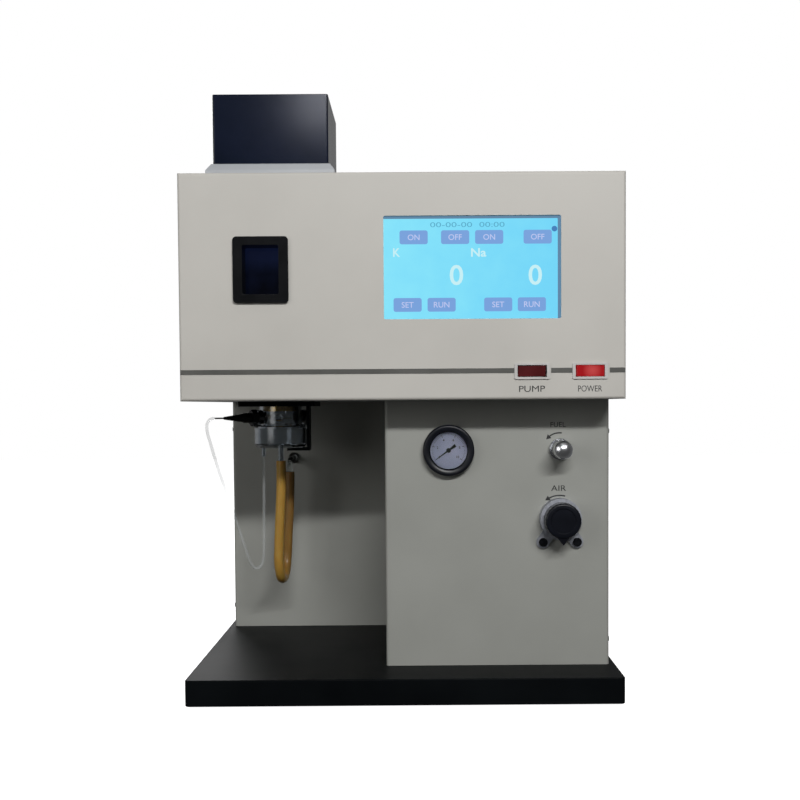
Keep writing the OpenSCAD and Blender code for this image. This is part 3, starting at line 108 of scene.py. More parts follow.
# Colour and gloss drift between two values over patches, and a fine grain stands in relief.
# patch and grain are the real widths in mm, relief its height in mm; stretch draws them long.
def addMaterial(name, dark, light, roughness, grain=2.0, relief=0.01, patch=20,
                stretch=(1, 1, 1), **inputs):
    material = bpy.data.materials.new(name)
    material.use_nodes = True
    tree = material.node_tree
    shader = tree.nodes["Principled BSDF"]
    for socket, value in inputs.items():
        shader.inputs[socket.replace("_", " ")].default_value = value
    low, high = drift["span"]
    dull, shiny = roughness * (1 + drift["gloss"]), roughness * (1 - drift["gloss"])
    place = addNode(tree, "ShaderNodeTexCoord").outputs["Object"]
    drawn = addNode(tree, "ShaderNodeMapping", {"Scale": stretch}, {"Vector": place}).outputs[0]
    patches = addNode(tree, "ShaderNodeTexNoise",
                      {"Scale": 1 / (patch * mm), "Detail": drift["detail"]},
                      {"Vector": drawn}).outputs["Fac"]
    share = addNode(tree, "ShaderNodeMapRange", {"From Min": low, "From Max": high},
                    {"Value": patches}).outputs[0]
    colour = addNode(tree, "ShaderNodeMix", {"A": linear(dark), "B": linear(light)},
                     {"Factor": share}, data_type="RGBA")
    gloss = addNode(tree, "ShaderNodeMapRange", {"To Min": shiny, "To Max": dull},
                    {"Value": patches})
    grains = addNode(tree, "ShaderNodeTexNoise", {"Scale": 1 / (grain * mm)}, {"Vector": drawn})
    bump = addNode(tree, "ShaderNodeBump", {"Distance": relief * mm},
                   {"Height": grains.outputs["Fac"]})
    tree.links.new(colour.outputs["Result"], shader.inputs["Base Color"])
    tree.links.new(gloss.outputs[0], shader.inputs["Roughness"])
    tree.links.new(bump.outputs["Normal"], shader.inputs["Normal"])
    return material


rows = [
    # polyester powder coat, light grey: a matt shell with a soft sheen and a faint orange peel,
    # which is about 0.8 mm wide and drawn coarser so that it shows
    ("lightPowderCoat", "c3c0b9", "c9c6bf", 0.5, {"grain": 2.2, "relief": 0.02, "patch": 70}),
    # the same coat in a darker grey
    ("greyPowderCoat", "9c9d97", "a2a39d", 0.5, {"grain": 2.2, "relief": 0.02, "patch": 70}),
    # stoving enamel, black and dull: hardly any reflection
    ("blackEnamel", "080a0c", "0e1113", 0.42,
     {"grain": 2.2, "patch": 70, "Specular_IOR_Level": 0.04}),
    # heat-proof paint, sprayed smooth: glossy, with a blue cast
    ("chimneyPaint", "0c1322", "131b2f", 0.135,
     {"grain": 4.0, "relief": 0.003, "patch": 70, "Specular_IOR_Level": 0.3}),
    # sprayed paint on the chimney's curb: pale and cool, with the powder coat's sheen
    ("palePaint", "adb0b4", "b7babe", 0.45, {"grain": 2.2, "relief": 0.02, "patch": 70}),
    # zinc-plated sheet: dull, with rolling lines
    ("zincSteel", "8f9296", "b4b7bb", 0.42, {"patch": 3, "stretch": (1, 8, 1), "Metallic": 1}),
    # turned stainless: fine lines round the axis
    ("stainlessSteel", "a8aaad", "c9cbce", 0.24,
     {"patch": 3, "stretch": (1, 8, 1), "Metallic": 1}),
    # stainless that has been hot: straw and brown tints
    ("heatTintedSteel", "6b5a48", "a39b92", 0.35, {"Metallic": 1}),
    # turned brass: warm, with fine lines round the axis
    ("turnedBrass", "a67f3a", "c9a45a", 0.28, {"patch": 3, "stretch": (1, 8, 1), "Metallic": 1}),
    # bead-blasted and anodised aluminium: an even satin grey
    ("anodisedAluminium", "a6a9b1", "bcbfc7", 0.5, {"patch": 3, "Metallic": 1}),
    # the same, dyed black: a dark satin with a metal's sheen
    ("blackAnodised", "1d1e21", "2b2c30", 0.4, {"patch": 3, "Metallic": 1}),
    # chrome plate: a slightly soft mirror with the faintest ripple
    ("chromePlate", "e0e2e5", "eef0f3", 0.22, {"patch": 30, "relief": 0.002, "Metallic": 1}),
    # ABS, moulded in a fine-textured tool: low sheen
    ("blackAbs", "0e0f11", "151618", 0.24,
     {"grain": 0.9, "relief": 0.002, "Specular_IOR_Level": 0.15}),
    # ABS from a polished tool, with a blue cast
    ("glossBlackAbs", "0b0d14", "10131c", 0.34,
     {"grain": 4.0, "relief": 0.002, "Specular_IOR_Level": 0.35}),
    # phenolic, moulded: dense, nearly black
    ("knobPhenolic", "0a0c13", "10131c", 0.3,
     {"grain": 1.4, "relief": 0.004, "Specular_IOR_Level": 0.3}),
    # rubber: dull, with a dusty bloom
    ("mouldedRubber", "141414", "1d1c1b", 0.75, {"grain": 1.2, "relief": 0.03}),
    # natural latex tube: amber, soft sheen, a little light goes in; its second, darker colour is
    # painted shade on the hose's back leg
    ("amberLatex", "b68e3f", "82602f", 0.36,
     {"grain": 7, "relief": 0.02, "patch": 7, "stretch": (1, 1, 0.2), "Specular_IOR_Level": 0.4,
      "Subsurface_Weight": 0.15, "Subsurface_Scale": 0.002}),
    # nylon, moulded: warm white with a soft sheen
    ("whiteNylon", "c3c1be", "cfcdca", 0.35, {"grain": 0.9}),
    # pressed ceramic under a thin glaze: ivory and smooth
    ("glazedCeramic", "d9d6cc", "e6e3da", 0.2, {"grain": 3, "relief": 0.004, "Coat_Weight": 0.5}),
    # solder mask over fibreglass: deep green, glossy, with the weave just showing
    ("solderMask", "0c3a22", "14502f", 0.3, {"patch": 2}),
    # screen-printed enamel on aluminium, with a lilac cast
    ("printedDial", "c9c7e6", "d5d3f0", 0.5, {"relief": 0.004}),
    # screen-printing ink: nearly black and matt
    ("blackInk", "1c1c1d", "242425", 0.5, {"grain": 1, "relief": 0.002}),
    # vinyl film, rolled: an even dark grey
    ("stripeFilm", "52524e", "5b5b57", 0.4, {"relief": 0.004}),
    # drawn PVC tube: thin and slightly milky, so most of the light goes straight through
    ("clearPvc", "e4ebee", "f2f6f8", 0.1,
     {"grain": 12, "relief": 0.03, "IOR": 1.53, "Transmission_Weight": 0.45, "Alpha": 0.2}),
    # cast acrylic: clear, with a grey-blue cast and soft highlights
    ("clearAcrylic", "d0d7df", "e0e6ec", 0.08,
     {"grain": 12, "relief": 0.03, "IOR": 1.49, "Transmission_Weight": 1}),
    # borosilicate: blown, so slightly wavy
    ("borosilicate", "eef5f4", "f8fcfb", 0.01,
     {"grain": 12, "relief": 0.03, "IOR": 1.47, "Transmission_Weight": 1}),
    # cobalt glass is coloured through, so part of its blue is drawn as a solid tint; its upper
    # part glows with a band of painted reflection
    ("cobaltGlass", "030610", "050a16", 0.02,
     {"grain": 12, "IOR": 1.52, "Transmission_Weight": 0.5, "Specular_IOR_Level": 0.2,
      "Emission_Strength": 1.0}),
    # optical glass, ground and polished: clear deep orange
    ("filterGlass", "c8601a", "d97c2c", 0.05, {"IOR": 1.52, "Transmission_Weight": 1}),
    # the touch panel with its picture off: dark glass
    ("darkGlass", "20283a", "283247", 0.08, {"grain": 20, "relief": 0.002, "Coat_Weight": 1}),
    # polycarbonate caps: the lamp is on behind one and off behind the other
    ("litRed", "5c080c", "6a0a0e", 0.2,
     {"Coat_Weight": 0.6, "Coat_Roughness": 0.08, "Emission_Strength": 0.55}),
    ("dullRed", "4a0d10", "581317", 0.22,
     {"grain": 6, "relief": 0.004, "Coat_Weight": 0.5, "Coat_Roughness": 0.06}),
    # the backlit picture and its prints: light comes through a dark glossy sheet; the border's
    # blue glow is painted light of the screen on the walls of its opening
    ("backlitPicture", "0c1c24", "0e2029", 0.12, {"Emission_Strength": 0.98, "relief": 0.001}),
    *[(name, "0a141c", "0c1822", 0.15,
       {"relief": 0.001, "Emission_Strength": strength, "Emission_Color": linear(glow)})
      for name, glow, strength in [
          ("wallLightBlue", "6b93b4", 0.8), ("buttonBlue", "7ba4de", 0.95),
          ("buttonLetters", "c3cbf3", 0.95), ("readingWhite", "cbf3f8", 0.95),
          ("clockCyan", "5cb0cf", 0.9), ("dotBlue", "4682c0", 0.9)]],
]
finishes = {name: addMaterial(name, *look, **more) for name, *look, more in rows}
slotFinish = {
    "head_paint": "lightPowderCoat", "body_paint": "greyPowderCoat", "base_paint": "blackEnamel",
    "chimney_paint": "chimneyPaint", "collar_metal": "palePaint", "zinc_steel": "zincSteel",
    "stainless": "stainlessSteel", "heat_steel": "heatTintedSteel", "brass_metal": "turnedBrass",
    "chrome_knob": "chromePlate", "black_plastic": "blackAbs", "gloss_black": "glossBlackAbs",
    "collar_alloy": "anodisedAluminium", "black_alloy": "blackAnodised",
    "rubber": "mouldedRubber", "latex": "amberLatex", "clear_tube": "clearPvc",
    "clear_acrylic": "clearAcrylic", "clear_glass": "borosilicate", "blue_glass": "cobaltGlass",
    "filter_glass": "filterGlass", "screen": "darkGlass", "stripe_film": "stripeFilm",
    "switch_plastic": "whiteNylon", "lamp_red_on": "litRed", "lamp_red_off": "dullRed",
    "dial_white": "printedDial", "pointer_black": "blackInk", "ceramic": "glazedCeramic",
    "circuit_board": "solderMask",
}
glows = {
    "lampCentre": (168, -188, 302.5),  # mm
    "lampReach": 9,
    "lampColours": ("f26a68", "b3151c"),
    "pictureEdges": (-16, 138),  # x in mm
    "pictureColours": ("8ae6fb", "74d6f8"),
    "backLegShade": (-24, 12),  # y where the hose's painted shade begins, on the front leg, and where it is full, on the back leg
    "glassReflectionEnds": (391, 406),  # z in mm between which the blue glass's painted reflection grows brighter upwards
    "glassReflectionColours": ("000001", "0b1126"),
    "blend": (0.3, 1.5),  # the noise and the way along an axis together lie between these
}


def shadeAlong(name, socket, axis, ends, colours=None):
    # one colour turns into the other along an axis, with the material's own patches mixed in
    tree = finishes[name].node_tree
    shader = tree.nodes["Principled BSDF"]
    place = tree.nodes["Texture Coordinate"].outputs["Object"]
    low, high = ends
    along = addNode(tree, "ShaderNodeSeparateXYZ", links={"Vector": place}).outputs[axis]
    way = addNode(tree, "ShaderNodeMapRange", {"From Min": low * mm, "From Max": high * mm},
                  {"Value": along}).outputs[0]
    patches = tree.nodes["Noise Texture"].outputs["Fac"]
    both = addNode(tree, "ShaderNodeMath", links={0: patches, 1: way}, operation="ADD")
    mix = tree.nodes["Mix"]
    if colours:
        mix = addNode(tree, "ShaderNodeMix", dict(zip("AB", map(linear, colours))),
                      data_type="RGBA")
    least, most = glows["blend"]
    share = addNode(tree, "ShaderNodeMapRange", {"From Min": least, "From Max": most},
                    {"Value": both.outputs[0]})
    tree.links.new(share.outputs[0], mix.inputs["Factor"])
    tree.links.new(mix.outputs["Result"], shader.inputs[socket])


def lightLamp(setup):  # brightest in the middle of the cap, deep red at its edges
    tree = finishes["litRed"].node_tree
    place = tree.nodes["Texture Coordinate"].outputs["Object"]
    away = addNode(tree, "ShaderNodeVectorMath", {1: [c * mm for c in setup["lampCentre"]]},
                   {0: place}, operation="DISTANCE").outputs["Value"]
    fade = addNode(tree, "ShaderNodeMapRange", {"From Max": setup["lampReach"] * mm},
                   {"Value": away}).outputs[0]
    mix = addNode(tree, "ShaderNodeMix", dict(zip("AB", map(linear, setup["lampColours"]))),
                  {"Factor": fade}, data_type="RGBA")
    tree.links.new(mix.outputs["Result"],
                   tree.nodes["Principled BSDF"].inputs["Emission Color"])


lightLamp(glows)
shadeAlong("backlitPicture", "Emission Color", "X", glows["pictureEdges"],
           glows["pictureColours"])
# painted shade: the hose turns darker from its front leg to its back leg
shadeAlong("amberLatex", "Base Color", "Y", glows["backLegShade"])
# painted reflection: the blue glass glows, brighter towards its top
shadeAlong("cobaltGlass", "Emission Color", "Z", glows["glassReflectionEnds"], glows["glassReflectionColours"])
print("materials:", len(finishes))


# Small tools for modelling
sharpAngle = math.radians(35)  # steeper edges are rounded, or stay sharp
flatAngle = math.radians(0.5)  # faces that meet flatter than this become one
shellGap = 0.01 * mm  # points that are closer than this become one
spinGap = 0.005 * mm


def deselectAll():
    if bpy.context.object and bpy.context.object.mode != "OBJECT":
        bpy.ops.object.mode_set(mode="OBJECT")
    bpy.ops.object.select_all(action="DESELECT")


def pick(piece):
    deselectAll()
    piece.select_set(True)
    bpy.context.view_layer.objects.active = piece


def nameNew(name):  # the place and turn of what was just added go into its mesh
    piece = bpy.context.object
    piece.name = name
    pick(piece)
    bpy.ops.object.transform_apply(location=True, rotation=True, scale=True)
    return piece


def modify(piece, kind, **settings):
    pick(piece)
    modifier = piece.modifiers.new(kind.title(), kind)
    for name, value in settings.items():
        setattr(modifier, name, value)
    bpy.ops.object.modifier_apply(modifier=modifier.name)


def smooth(piece):
    pick(piece)
    bpy.ops.object.shade_smooth_by_angle(angle=sharpAngle)


def roundEdges(piece, width, segments=3):
    modify(piece, "BEVEL", width=width * mm, segments=segments, limit_method="ANGLE",
           angle_limit=sharpAngle)
    smooth(piece)
    modify(piece, "WEIGHTED_NORMAL", keep_sharp=True)  # the large faces stay flat


def editAll(piece, work):  # runs work in edit mode with all selected
    pick(piece)
    bpy.ops.object.mode_set(mode="EDIT")
    bpy.ops.mesh.select_all(action="SELECT")
    work()
    bpy.ops.object.mode_set(mode="OBJECT")


def addBlock(name, low, high):  # corners in mm
    deselectAll()
    low, high = Vector(low) * mm, Vector(high) * mm
    bpy.ops.mesh.primitive_cube_add(size=1, location=(low + high) / 2, scale=high - low)
    return nameNew(name)


def addDisc(name, centre, radius, depth, sides=32):  # faces the front; sizes in mm
    deselectAll()
    bpy.ops.mesh.primitive_cylinder_add(vertices=sides, radius=radius * mm, depth=depth * mm,
                                        location=Vector(centre) * mm,
                                        rotation=(math.pi / 2, 0, 0))
    return nameNew(name)


def addLines(name, points):  # points in m, joined by edges into one open line
    mesh = bpy.data.meshes.new(name)
    mesh.from_pydata(points, [(i, i + 1) for i in range(len(points) - 1)], [])
    piece = bpy.data.objects.new(name, mesh)
    bpy.context.scene.collection.objects.link(piece)
    return piece


def addTurned(name, centre, profile, sides=96):
    # profile: points (radius, place behind the centre) in mm, spun about an axis along Y
    centre = Vector(centre) * mm
    piece = addLines(name, [centre + Vector((0, back, radius)) * mm for radius, back in profile])

    def spin():
        bpy.ops.mesh.spin(steps=sides, angle=2 * math.pi, center=centre, axis=(0, 1, 0))
        bpy.ops.mesh.select_all(action="SELECT")
        bpy.ops.mesh.remove_doubles(threshold=spinGap)
        bpy.ops.mesh.normals_make_consistent(inside=False)
    editAll(piece, spin)
    smooth(piece)
    return piece


def arc(centreR, centreT, radius, start, end, count):  # a round stretch of a profile
    # start and end in degrees from straight outwards; count pieces
    turns = [math.radians(start + (end - start) * i / count) for i in range(count + 1)]
    return [(centreR + radius * math.cos(a), centreT + radius * math.sin(a)) for a in turns]


def joinAll(name, pieces):
    pick(pieces[0])
    for piece in pieces:
        piece.select_set(True)
    bpy.ops.object.join()
    piece = bpy.context.object
    piece.name = name
    return piece


def dress(piece, slot, body="root", replaced=(), finish=None):
    piece.data.materials.clear()
    piece.data.materials.append(finishes[finish or slotFinish[slot]])
    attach(piece, body)
    if replaced:
        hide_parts(*replaced)
    return piece


def refine(node, name, width, slot, body="root"):
    # a merged copy of a CAD node, with its sharp edges rounded
    piece = bpy.data.objects.new(name, nodes[node].data.copy())
    bpy.context.scene.collection.objects.link(piece)
    pick(piece)
    bpy.ops.mesh.customdata_custom_splitnormals_clear()

    def merge():
        bpy.ops.mesh.remove_doubles(threshold=shellGap)
        bpy.ops.mesh.dissolve_limited(angle_limit=flatAngle)
    editAll(piece, merge)
    if width:
        roundEdges(piece, width)
    else:
        smooth(piece)
    return dress(piece, slot, body, [node])


def addText(name, body, centre, height, depth, width=None, thick=0.0):
    # flat lettering that faces the front; centre and sizes in mm; y is its front face
    deselectAll()
    bpy.ops.object.text_add(location=(0, 0, 0))
    text = bpy.context.object.data
    text.body = body
    text.align_x, text.align_y = "CENTER", "CENTER"
    text.extrude = 0.5  # scaled to the depth below
    text.offset = thick
    text.resolution_u = 4
    bpy.ops.object.convert(target="MESH")
    piece = bpy.context.object
    piece.name = name
    corners = [Vector(corner) for corner in piece.bound_box]
    low = Vector([min(c[i] for c in corners) for i in range(3)])
    high = Vector([max(c[i] for c in corners) for i in range(3)])
    size, middle = high - low, (high + low) / 2
    scaleZ = height / size.y
    scaleX = width / size.x if width else scaleZ
    x, y, z = centre
    piece.data.transform(
        Matrix.Translation(Vector((x, y + depth / 2, z)) * mm)
        @ Matrix.Rotation(math.pi / 2, 4, "X")
        @ Matrix.Diagonal((scaleX * mm, scaleZ * mm, depth / size.z * mm, 1))
        @ Matrix.Translation(-middle))
    return piece


# Cords: the same routes as in the CAD, in mm
cordSteps = 6  # the smoothness between two points and round the section
drainHose = {
    "radius": 5.0,
    "route": [
        (-128, -29, 216), (-128, -29, 200), (-128.6, -29, 180), (-129.6, -29, 160),
        (-130.6, -29, 140), (-131.2, -29, 124), (-131.5, -29, 113), (-131, -26, 102),
        (-130.5, -18, 94), (-129.8, -7, 91), (-129, 4, 94), (-128.4, 12, 102), (-127.8, 15, 113),
        (-127.2, 15, 124), (-126.4, 15, 140), (-125.2, 15, 160), (-124.4, 15, 180),
        (-124, 15, 202),
    ],
}
sampleTube = {
    "radius": 1.5,
    "route": [
        (-189, -67, 260.5), (-191.5, -68.5, 260.2), (-194, -70, 258.4), (-195.6, -71, 255.4),
        (-196, -71.2, 252), (-195.4, -71, 246), (-192.5, -69, 234), (-188, -66, 216),
        (-182, -62, 195), (-176, -58, 175), (-170.5, -53.5, 155), (-166, -49, 138),
        (-162.5, -44.5, 124), (-159.5, -40, 113.5), (-156.5, -37, 108), (-153, -35.5, 106),
        (-149.5, -35, 108), (-147.2, -35, 113), (-146.2, -35, 122), (-145.8, -35, 136),
        (-145.6, -35, 152), (-145.4, -35, 168), (-145.2, -35, 184), (-145, -35, 200),
        (-145, -35, 221),
    ],
}


def addCord(name, setup, slot, node):
    curve = bpy.data.curves.new(name, "CURVE")
    curve.dimensions = "3D"
    curve.bevel_depth = setup["radius"] * mm
    curve.bevel_resolution = curve.resolution_u = cordSteps
    curve.use_fill_caps = True
    points = [Vector(place) * mm for place in setup["route"]]
    spline = curve.splines.new("BEZIER")
    spline.bezier_points.add(len(points) - 1)
    for knot, place in zip(spline.bezier_points, points):
        knot.co = place
        knot.handle_left_type = knot.handle_right_type = "AUTO"
    piece = bpy.data.objects.new(name, curve)
    bpy.context.scene.collection.objects.link(piece)
    dress(piece, slot, replaced=[node])


addCord("latex_drain_hose", drainHose, "latex", "drain_hose")
addCord("clear_sample_tube", sampleTube, "clear_tube", "sample_tube")

# Every CAD node gets the finish of its slot
for row in frame["record"]["subparts"]:
    shell = nodes[row["node"]]
    for place in shell.material_slots:
        place.material = finishes[slotFinish[row["material_slot"]]]
print("nodes finished:", len(nodes))

# Shells: the CAD shapes with their edges rounded
shells = {  # node: piece, radius of its edges in mm, slot, body
    "base_tray": ("tray", 0.9, "base_paint", "root"),
    "chimney_shroud": ("chimney", 0.8, "chimney_paint", "root"),
    "chimney_collar": ("chimney_curb", 0.6, "collar_metal", "root"),
    "window_bezel": ("window_frame", 0.7, "black_plastic", "root"),
    "switch_bodies": ("switch_housings", 0.4, "switch_plastic", "root"),
    "rocker_power": ("power_rocker", 0.7, "lamp_red_on", "rocker_power"),
    "rocker_pump": ("pump_rocker", 0.7, "lamp_red_off", "rocker_pump"),
    "dial_collar": ("regulator_collar", 0.5, "collar_alloy", "root"),
    "nebuliser_body": ("nebuliser", 0.3, "black_plastic", "root"),
    "spray_chamber": ("spray_bowl", 0.4, "clear_acrylic", "root"),
}
for node, look in shells.items():
    refine(node, *look)

# The film reads wider in the picture than its sheet, and runs nearly to the panel's ends
stripeFit = {
    "middle": 302.0,  # z in mm
    "lift": 0.5,
    "stretch": (1.009, 1, 1.45),
}


def buildStripe(setup):
    stripe = refine("trim_stripe", "stripe", 0, "stripe_film")
    stripe.data.transform(
        Matrix.Translation((0, 0, (setup["middle"] + setup["lift"]) * mm))
        @ Matrix.Diagonal((*setup["stretch"], 1))
        @ Matrix.Translation((0, 0, -setup["middle"] * mm)))


buildStripe(stripeFit)
print("refined shells:", len(shells) + 1)

# Display: a dark glass with the picture and its buttons
display = {
    "glassFront": -180.5,  # y in mm
    "picture": (-17.4, 348.4, 138.0, 437.3),  # x0, z0, x1, z1
    # a strip behind the picture's top and right edges that glows: painted light of the screen on
    # the walls of its opening
    "border": (-17.4, 348.4, 141.4, 439.6),
    "corner": 0.6,
    "cornerSteps": 6,
    "pictureThickness": 0.12,
    "layer": 0.06,  # each layer of print stands this much in front of the last
    "button": (25.0, 12.2),  # width, height
    "buttonCorner": 2.0,
    "topRow": 421.0,
    "topButtons": [(10.2, "ON"), (47.0, "OFF"), (77.2, "ON"), (120.2, "OFF")],  # x, word
    "bottomRow": 361.4,
    "bottomButtons": [(4.5, "SET"), (34.7, "RUN"), (85.0, "SET"), (114.9, "RUN")],
    "buttonLetters": 5.0,
    "channels": [("K", -5.0, 407.7, 6.2), ("Na", 67.8, 407.4, 13.5)],  # word, x, z, width
    "channelHeight": 7.6,
    "readings": [("0", 48.0, 387.6), ("0", 118.0, 387.4)],
    "readingSize": (12.0, 18.0),
    "weights": (0.006, 0.02, 0.012),  # how bold the words, the channels and the readings are
    "clock": ("00-00-00  00:00", 57.9, 432.0, 66.0, 4.4),  # word, x, z, width, height
    "dot": (135.1, 428.0, 2.5),  # x, z, radius
}


def roundedPlate(name, edges, front, thickness, corner):
    x0, z0, x1, z1 = edges
    piece = addBlock(name, (x0, front, z0), (x1, front + thickness, z1))
    pick(piece)
    bpy.context.tool_settings.mesh_select_mode = (False, True, False)
    bpy.ops.object.mode_set(mode="EDIT")
    bpy.ops.mesh.select_all(action="DESELECT")
    bpy.ops.object.mode_set(mode="OBJECT")
    for edge in piece.data.edges:  # the four that run from front to back
        a, b = (piece.data.vertices[i].co for i in edge.vertices)
        edge.select = abs(a.y - b.y) > thickness * mm / 2
    bpy.ops.object.mode_set(mode="EDIT")
    bpy.ops.mesh.bevel(offset=corner * mm, segments=display["cornerSteps"], affect="EDGES")
    bpy.ops.object.mode_set(mode="OBJECT")
    return piece


def buildDisplay(setup):
    layer, corner = setup["layer"], setup["corner"]
    wordWeight, channelWeight, readingWeight = setup["weights"]
    front = setup["glassFront"] - setup["pictureThickness"]
    # the border is painted light: the screen's glow on the walls of its opening
    border = roundedPlate("display_wall_light", setup["border"], setup["glassFront"] - layer,
                          layer, corner)
    dress(border, "screen", finish="wallLightBlue")
    picture = roundedPlate("display_picture", setup["picture"], front,
                           setup["pictureThickness"], corner)
    dress(picture, "screen", finish="backlitPicture")
    rows = [(x, setup["topRow"], word) for x, word in setup["topButtons"]]
    rows += [(x, setup["bottomRow"], word) for x, word in setup["bottomButtons"]]
    width, height = setup["button"]
    plates, words = [], []
    for i, (x, z, word) in enumerate(rows):
        edges = (x - width / 2, z - height / 2, x + width / 2, z + height / 2)
        plates.append(roundedPlate(f"button_{i}", edges, front - layer, layer,
                                   setup["buttonCorner"]))
        words.append(addText(f"word_{i}", word, (x, front - 2 * layer, z),
                             setup["buttonLetters"], layer, thick=wordWeight))
    dress(joinAll("display_buttons", plates), "screen", finish="buttonBlue")
    dress(joinAll("display_button_words", words), "screen", finish="buttonLetters")
    digits = [addText("channel_" + word, word, (x, front - layer, z), setup["channelHeight"],
                      layer, wide, channelWeight) for word, x, z, wide in setup["channels"]]
    wide, high = setup["readingSize"]
    digits += [addText(f"reading_{i}", word, (x, front - layer, z), high, layer, wide,
                       readingWeight) for i, (word, x, z) in enumerate(setup["readings"])]
    dress(joinAll("display_readings", digits), "screen", finish="readingWhite")
    word, x, z, wide, high = setup["clock"]
    clock = addText("display_clock", word, (x, front - layer, z), high, layer, wide)
    dress(clock, "screen", finish="clockCyan")
    x, z, radius = setup["dot"]
    dot = addDisc("display_dot", (x, front - layer / 2, z), radius, layer)
    roundEdges(dot, layer / 3, 2)
    dress(dot, "screen", finish="dotBlue")


buildDisplay(display)
print("display made")

# Lettering and arrows on the panels
marks = {
    "ink": 0.1,  # thickness in mm
    "headFront": -185.0,  # y in mm
    "panelFront": -133.0,
    # word, x, z, width, height
    "headWords": [("PUMP", 114.4, 286.2, 23.0, 5.4), ("POWER", 166.0, 286.2, 21.5, 5.4)],
    "panelWords": [("FUEL", 144.2, 253.4, 14.2, 4.6), ("AIR", 144.6, 193.8, 14.0, 5.2)],
    # centre x, z, radius, first and last angle in degrees above +X
    "arrows": [(145.5, 230.5, 15.2, 82, 130), (145.5, 165.5, 21.4, 76, 118)],
    "arrowWidth": 1.3,
    "arrowHead": 3.0,
    "arrowLead": 3,  # the head's middle is this many degrees past the line's end
    "arrowSteps": 16,
}


def addArrow(name, setup, x, z, radius, first, last):
    ink, y = setup["ink"], setup["panelFront"]
    half = setup["arrowWidth"] / 2
    centre = Vector((x, y, z)) * mm
    start = math.radians(first)
    out = Vector((math.cos(start), 0, math.sin(start)))
    tail = addLines(name, [centre + out * (radius + side) * mm for side in (-half, half)])
    editAll(tail, lambda: bpy.ops.mesh.spin(steps=setup["arrowSteps"], center=centre,
                                            angle=math.radians(last - first), axis=(0, 1, 0)))
    modify(tail, "SOLIDIFY", thickness=ink * mm, offset=0)
    tail.data.transform(Matrix.Translation((0, -ink / 2 * mm, 0)))
    end = math.radians(last + setup["arrowLead"])
    tip = (x + radius * math.cos(end), y - ink / 2, z + radius * math.sin(end))
    head = addDisc(name + "_head", (0, 0, 0), setup["arrowHead"], ink, sides=3)
    head.data.transform(Matrix.Translation(Vector(tip) * mm)
                        @ Matrix.Rotation(-end, 4, "Y"))
    return joinAll(name, [tail, head])


def buildMarks(setup):
    pieces = []
    for plane, rows in (("headFront", setup["headWords"]), ("panelFront", setup["panelWords"])):
        for word, x, z, width, height in rows:
            pieces.append(addText("word_" + word, word, (x, setup[plane] - setup["ink"], z),
                                  height, setup["ink"], width))
    for i, arrow in enumerate(setup["arrows"]):
        pieces.append(addArrow(f"arrow_{i}", setup, *arrow))
    dress(joinAll("panel_marks", pieces), "pointer_black")


buildMarks(marks)
print("marks made")

# Pressure gauge
gauge = {
    "centre": (41.5, 230.0),
    "rim": 24.0,
    "window": 17.2,
    "front": -142.0,  # y in mm
    "panel": -133.0,
    "rimRound": 2.2,  # radius of the rim's front edge
    "rimBreak": 0.3,  # and of its back edge
    "hollow": 3.4,  # the rim's hollow back is this much wider than the window
    # the rim's slope down to the glass: wider than the window, behind the front
    "slope": [(1.6, 0.35), (0.4, 1.2), (0, 1.9), (2.3, 2.0), (3.4, 2.6)],
    "dialFront": -135.5,
    "ink": 0.05,
    "startAngle": 216,  # where the scale begins, degrees above +X
    "sweep": 252,
    "ticks": 50,
    "longEvery": 10,
    "tickRadius": 15.8,
    "longTick": (2.6, 0.45),  # length, width
    "shortTick": (1.4, 0.2),
    "numbers": ["0", "2", "4", "6", "8", "10"],
    "numberRadius": 10.6,
    "numberHeight": 2.3,
    "numberWeight": 0.01,
    "glassEdge": 0.3,
}


def buildGauge(setup):
    x, z = setup["centre"]
    rim, window, bend, edge = setup["rim"], setup["window"], setup["rimRound"], setup["rimBreak"]
    depth = setup["panel"] - setup["front"]
    hollow = window + setup["hollow"]
    profile = [(hollow, depth), (rim - edge, depth), (rim, depth - edge)]
    profile += arc(rim - bend, bend, bend, 0, -90, count=8)
    profile += [(window + wider, back) for wider, back in setup["slope"]]
    profile += [(hollow, depth)]
    bezel = addTurned("gauge_rim", (x, setup["front"], z), profile)
    dress(bezel, "gloss_black", replaced=["gauge_bezel"])
    ink, dial = setup["ink"], setup["dialFront"]
    outer, r = setup["tickRadius"], setup["numberRadius"]
    start, sweep = setup["startAngle"], setup["sweep"]
    pieces = []
    for i in range(setup["ticks"] + 1):
        length, width = setup["shortTick" if i % setup["longEvery"] else "longTick"]
        tick = addBlock(f"tick_{i}", (outer - length, dial - ink, -width / 2),
                        (outer, dial, width / 2))
        turn = math.radians(start - sweep * i / setup["ticks"])
        tick.data.transform(Matrix.Translation(Vector((x, 0, z)) * mm)
                            @ Matrix.Rotation(-turn, 4, "Y"))
        pieces.append(tick)
    for i, number in enumerate(setup["numbers"]):
        turn = math.radians(start - sweep * i / (len(setup["numbers"]) - 1))
        place = (x + r * math.cos(turn), dial - ink, z + r * math.sin(turn))
        pieces.append(addText("number_" + number, number, place, setup["numberHeight"], ink,
                              thick=setup["numberWeight"]))
    dress(joinAll("gauge_scale", pieces), "pointer_black")
    refine("gauge_pointer", "gauge_needle", 0, "pointer_black", "gauge_pointer")
    refine("gauge_lens", "gauge_glass", setup["glassEdge"], "clear_glass")


buildGauge(gauge)

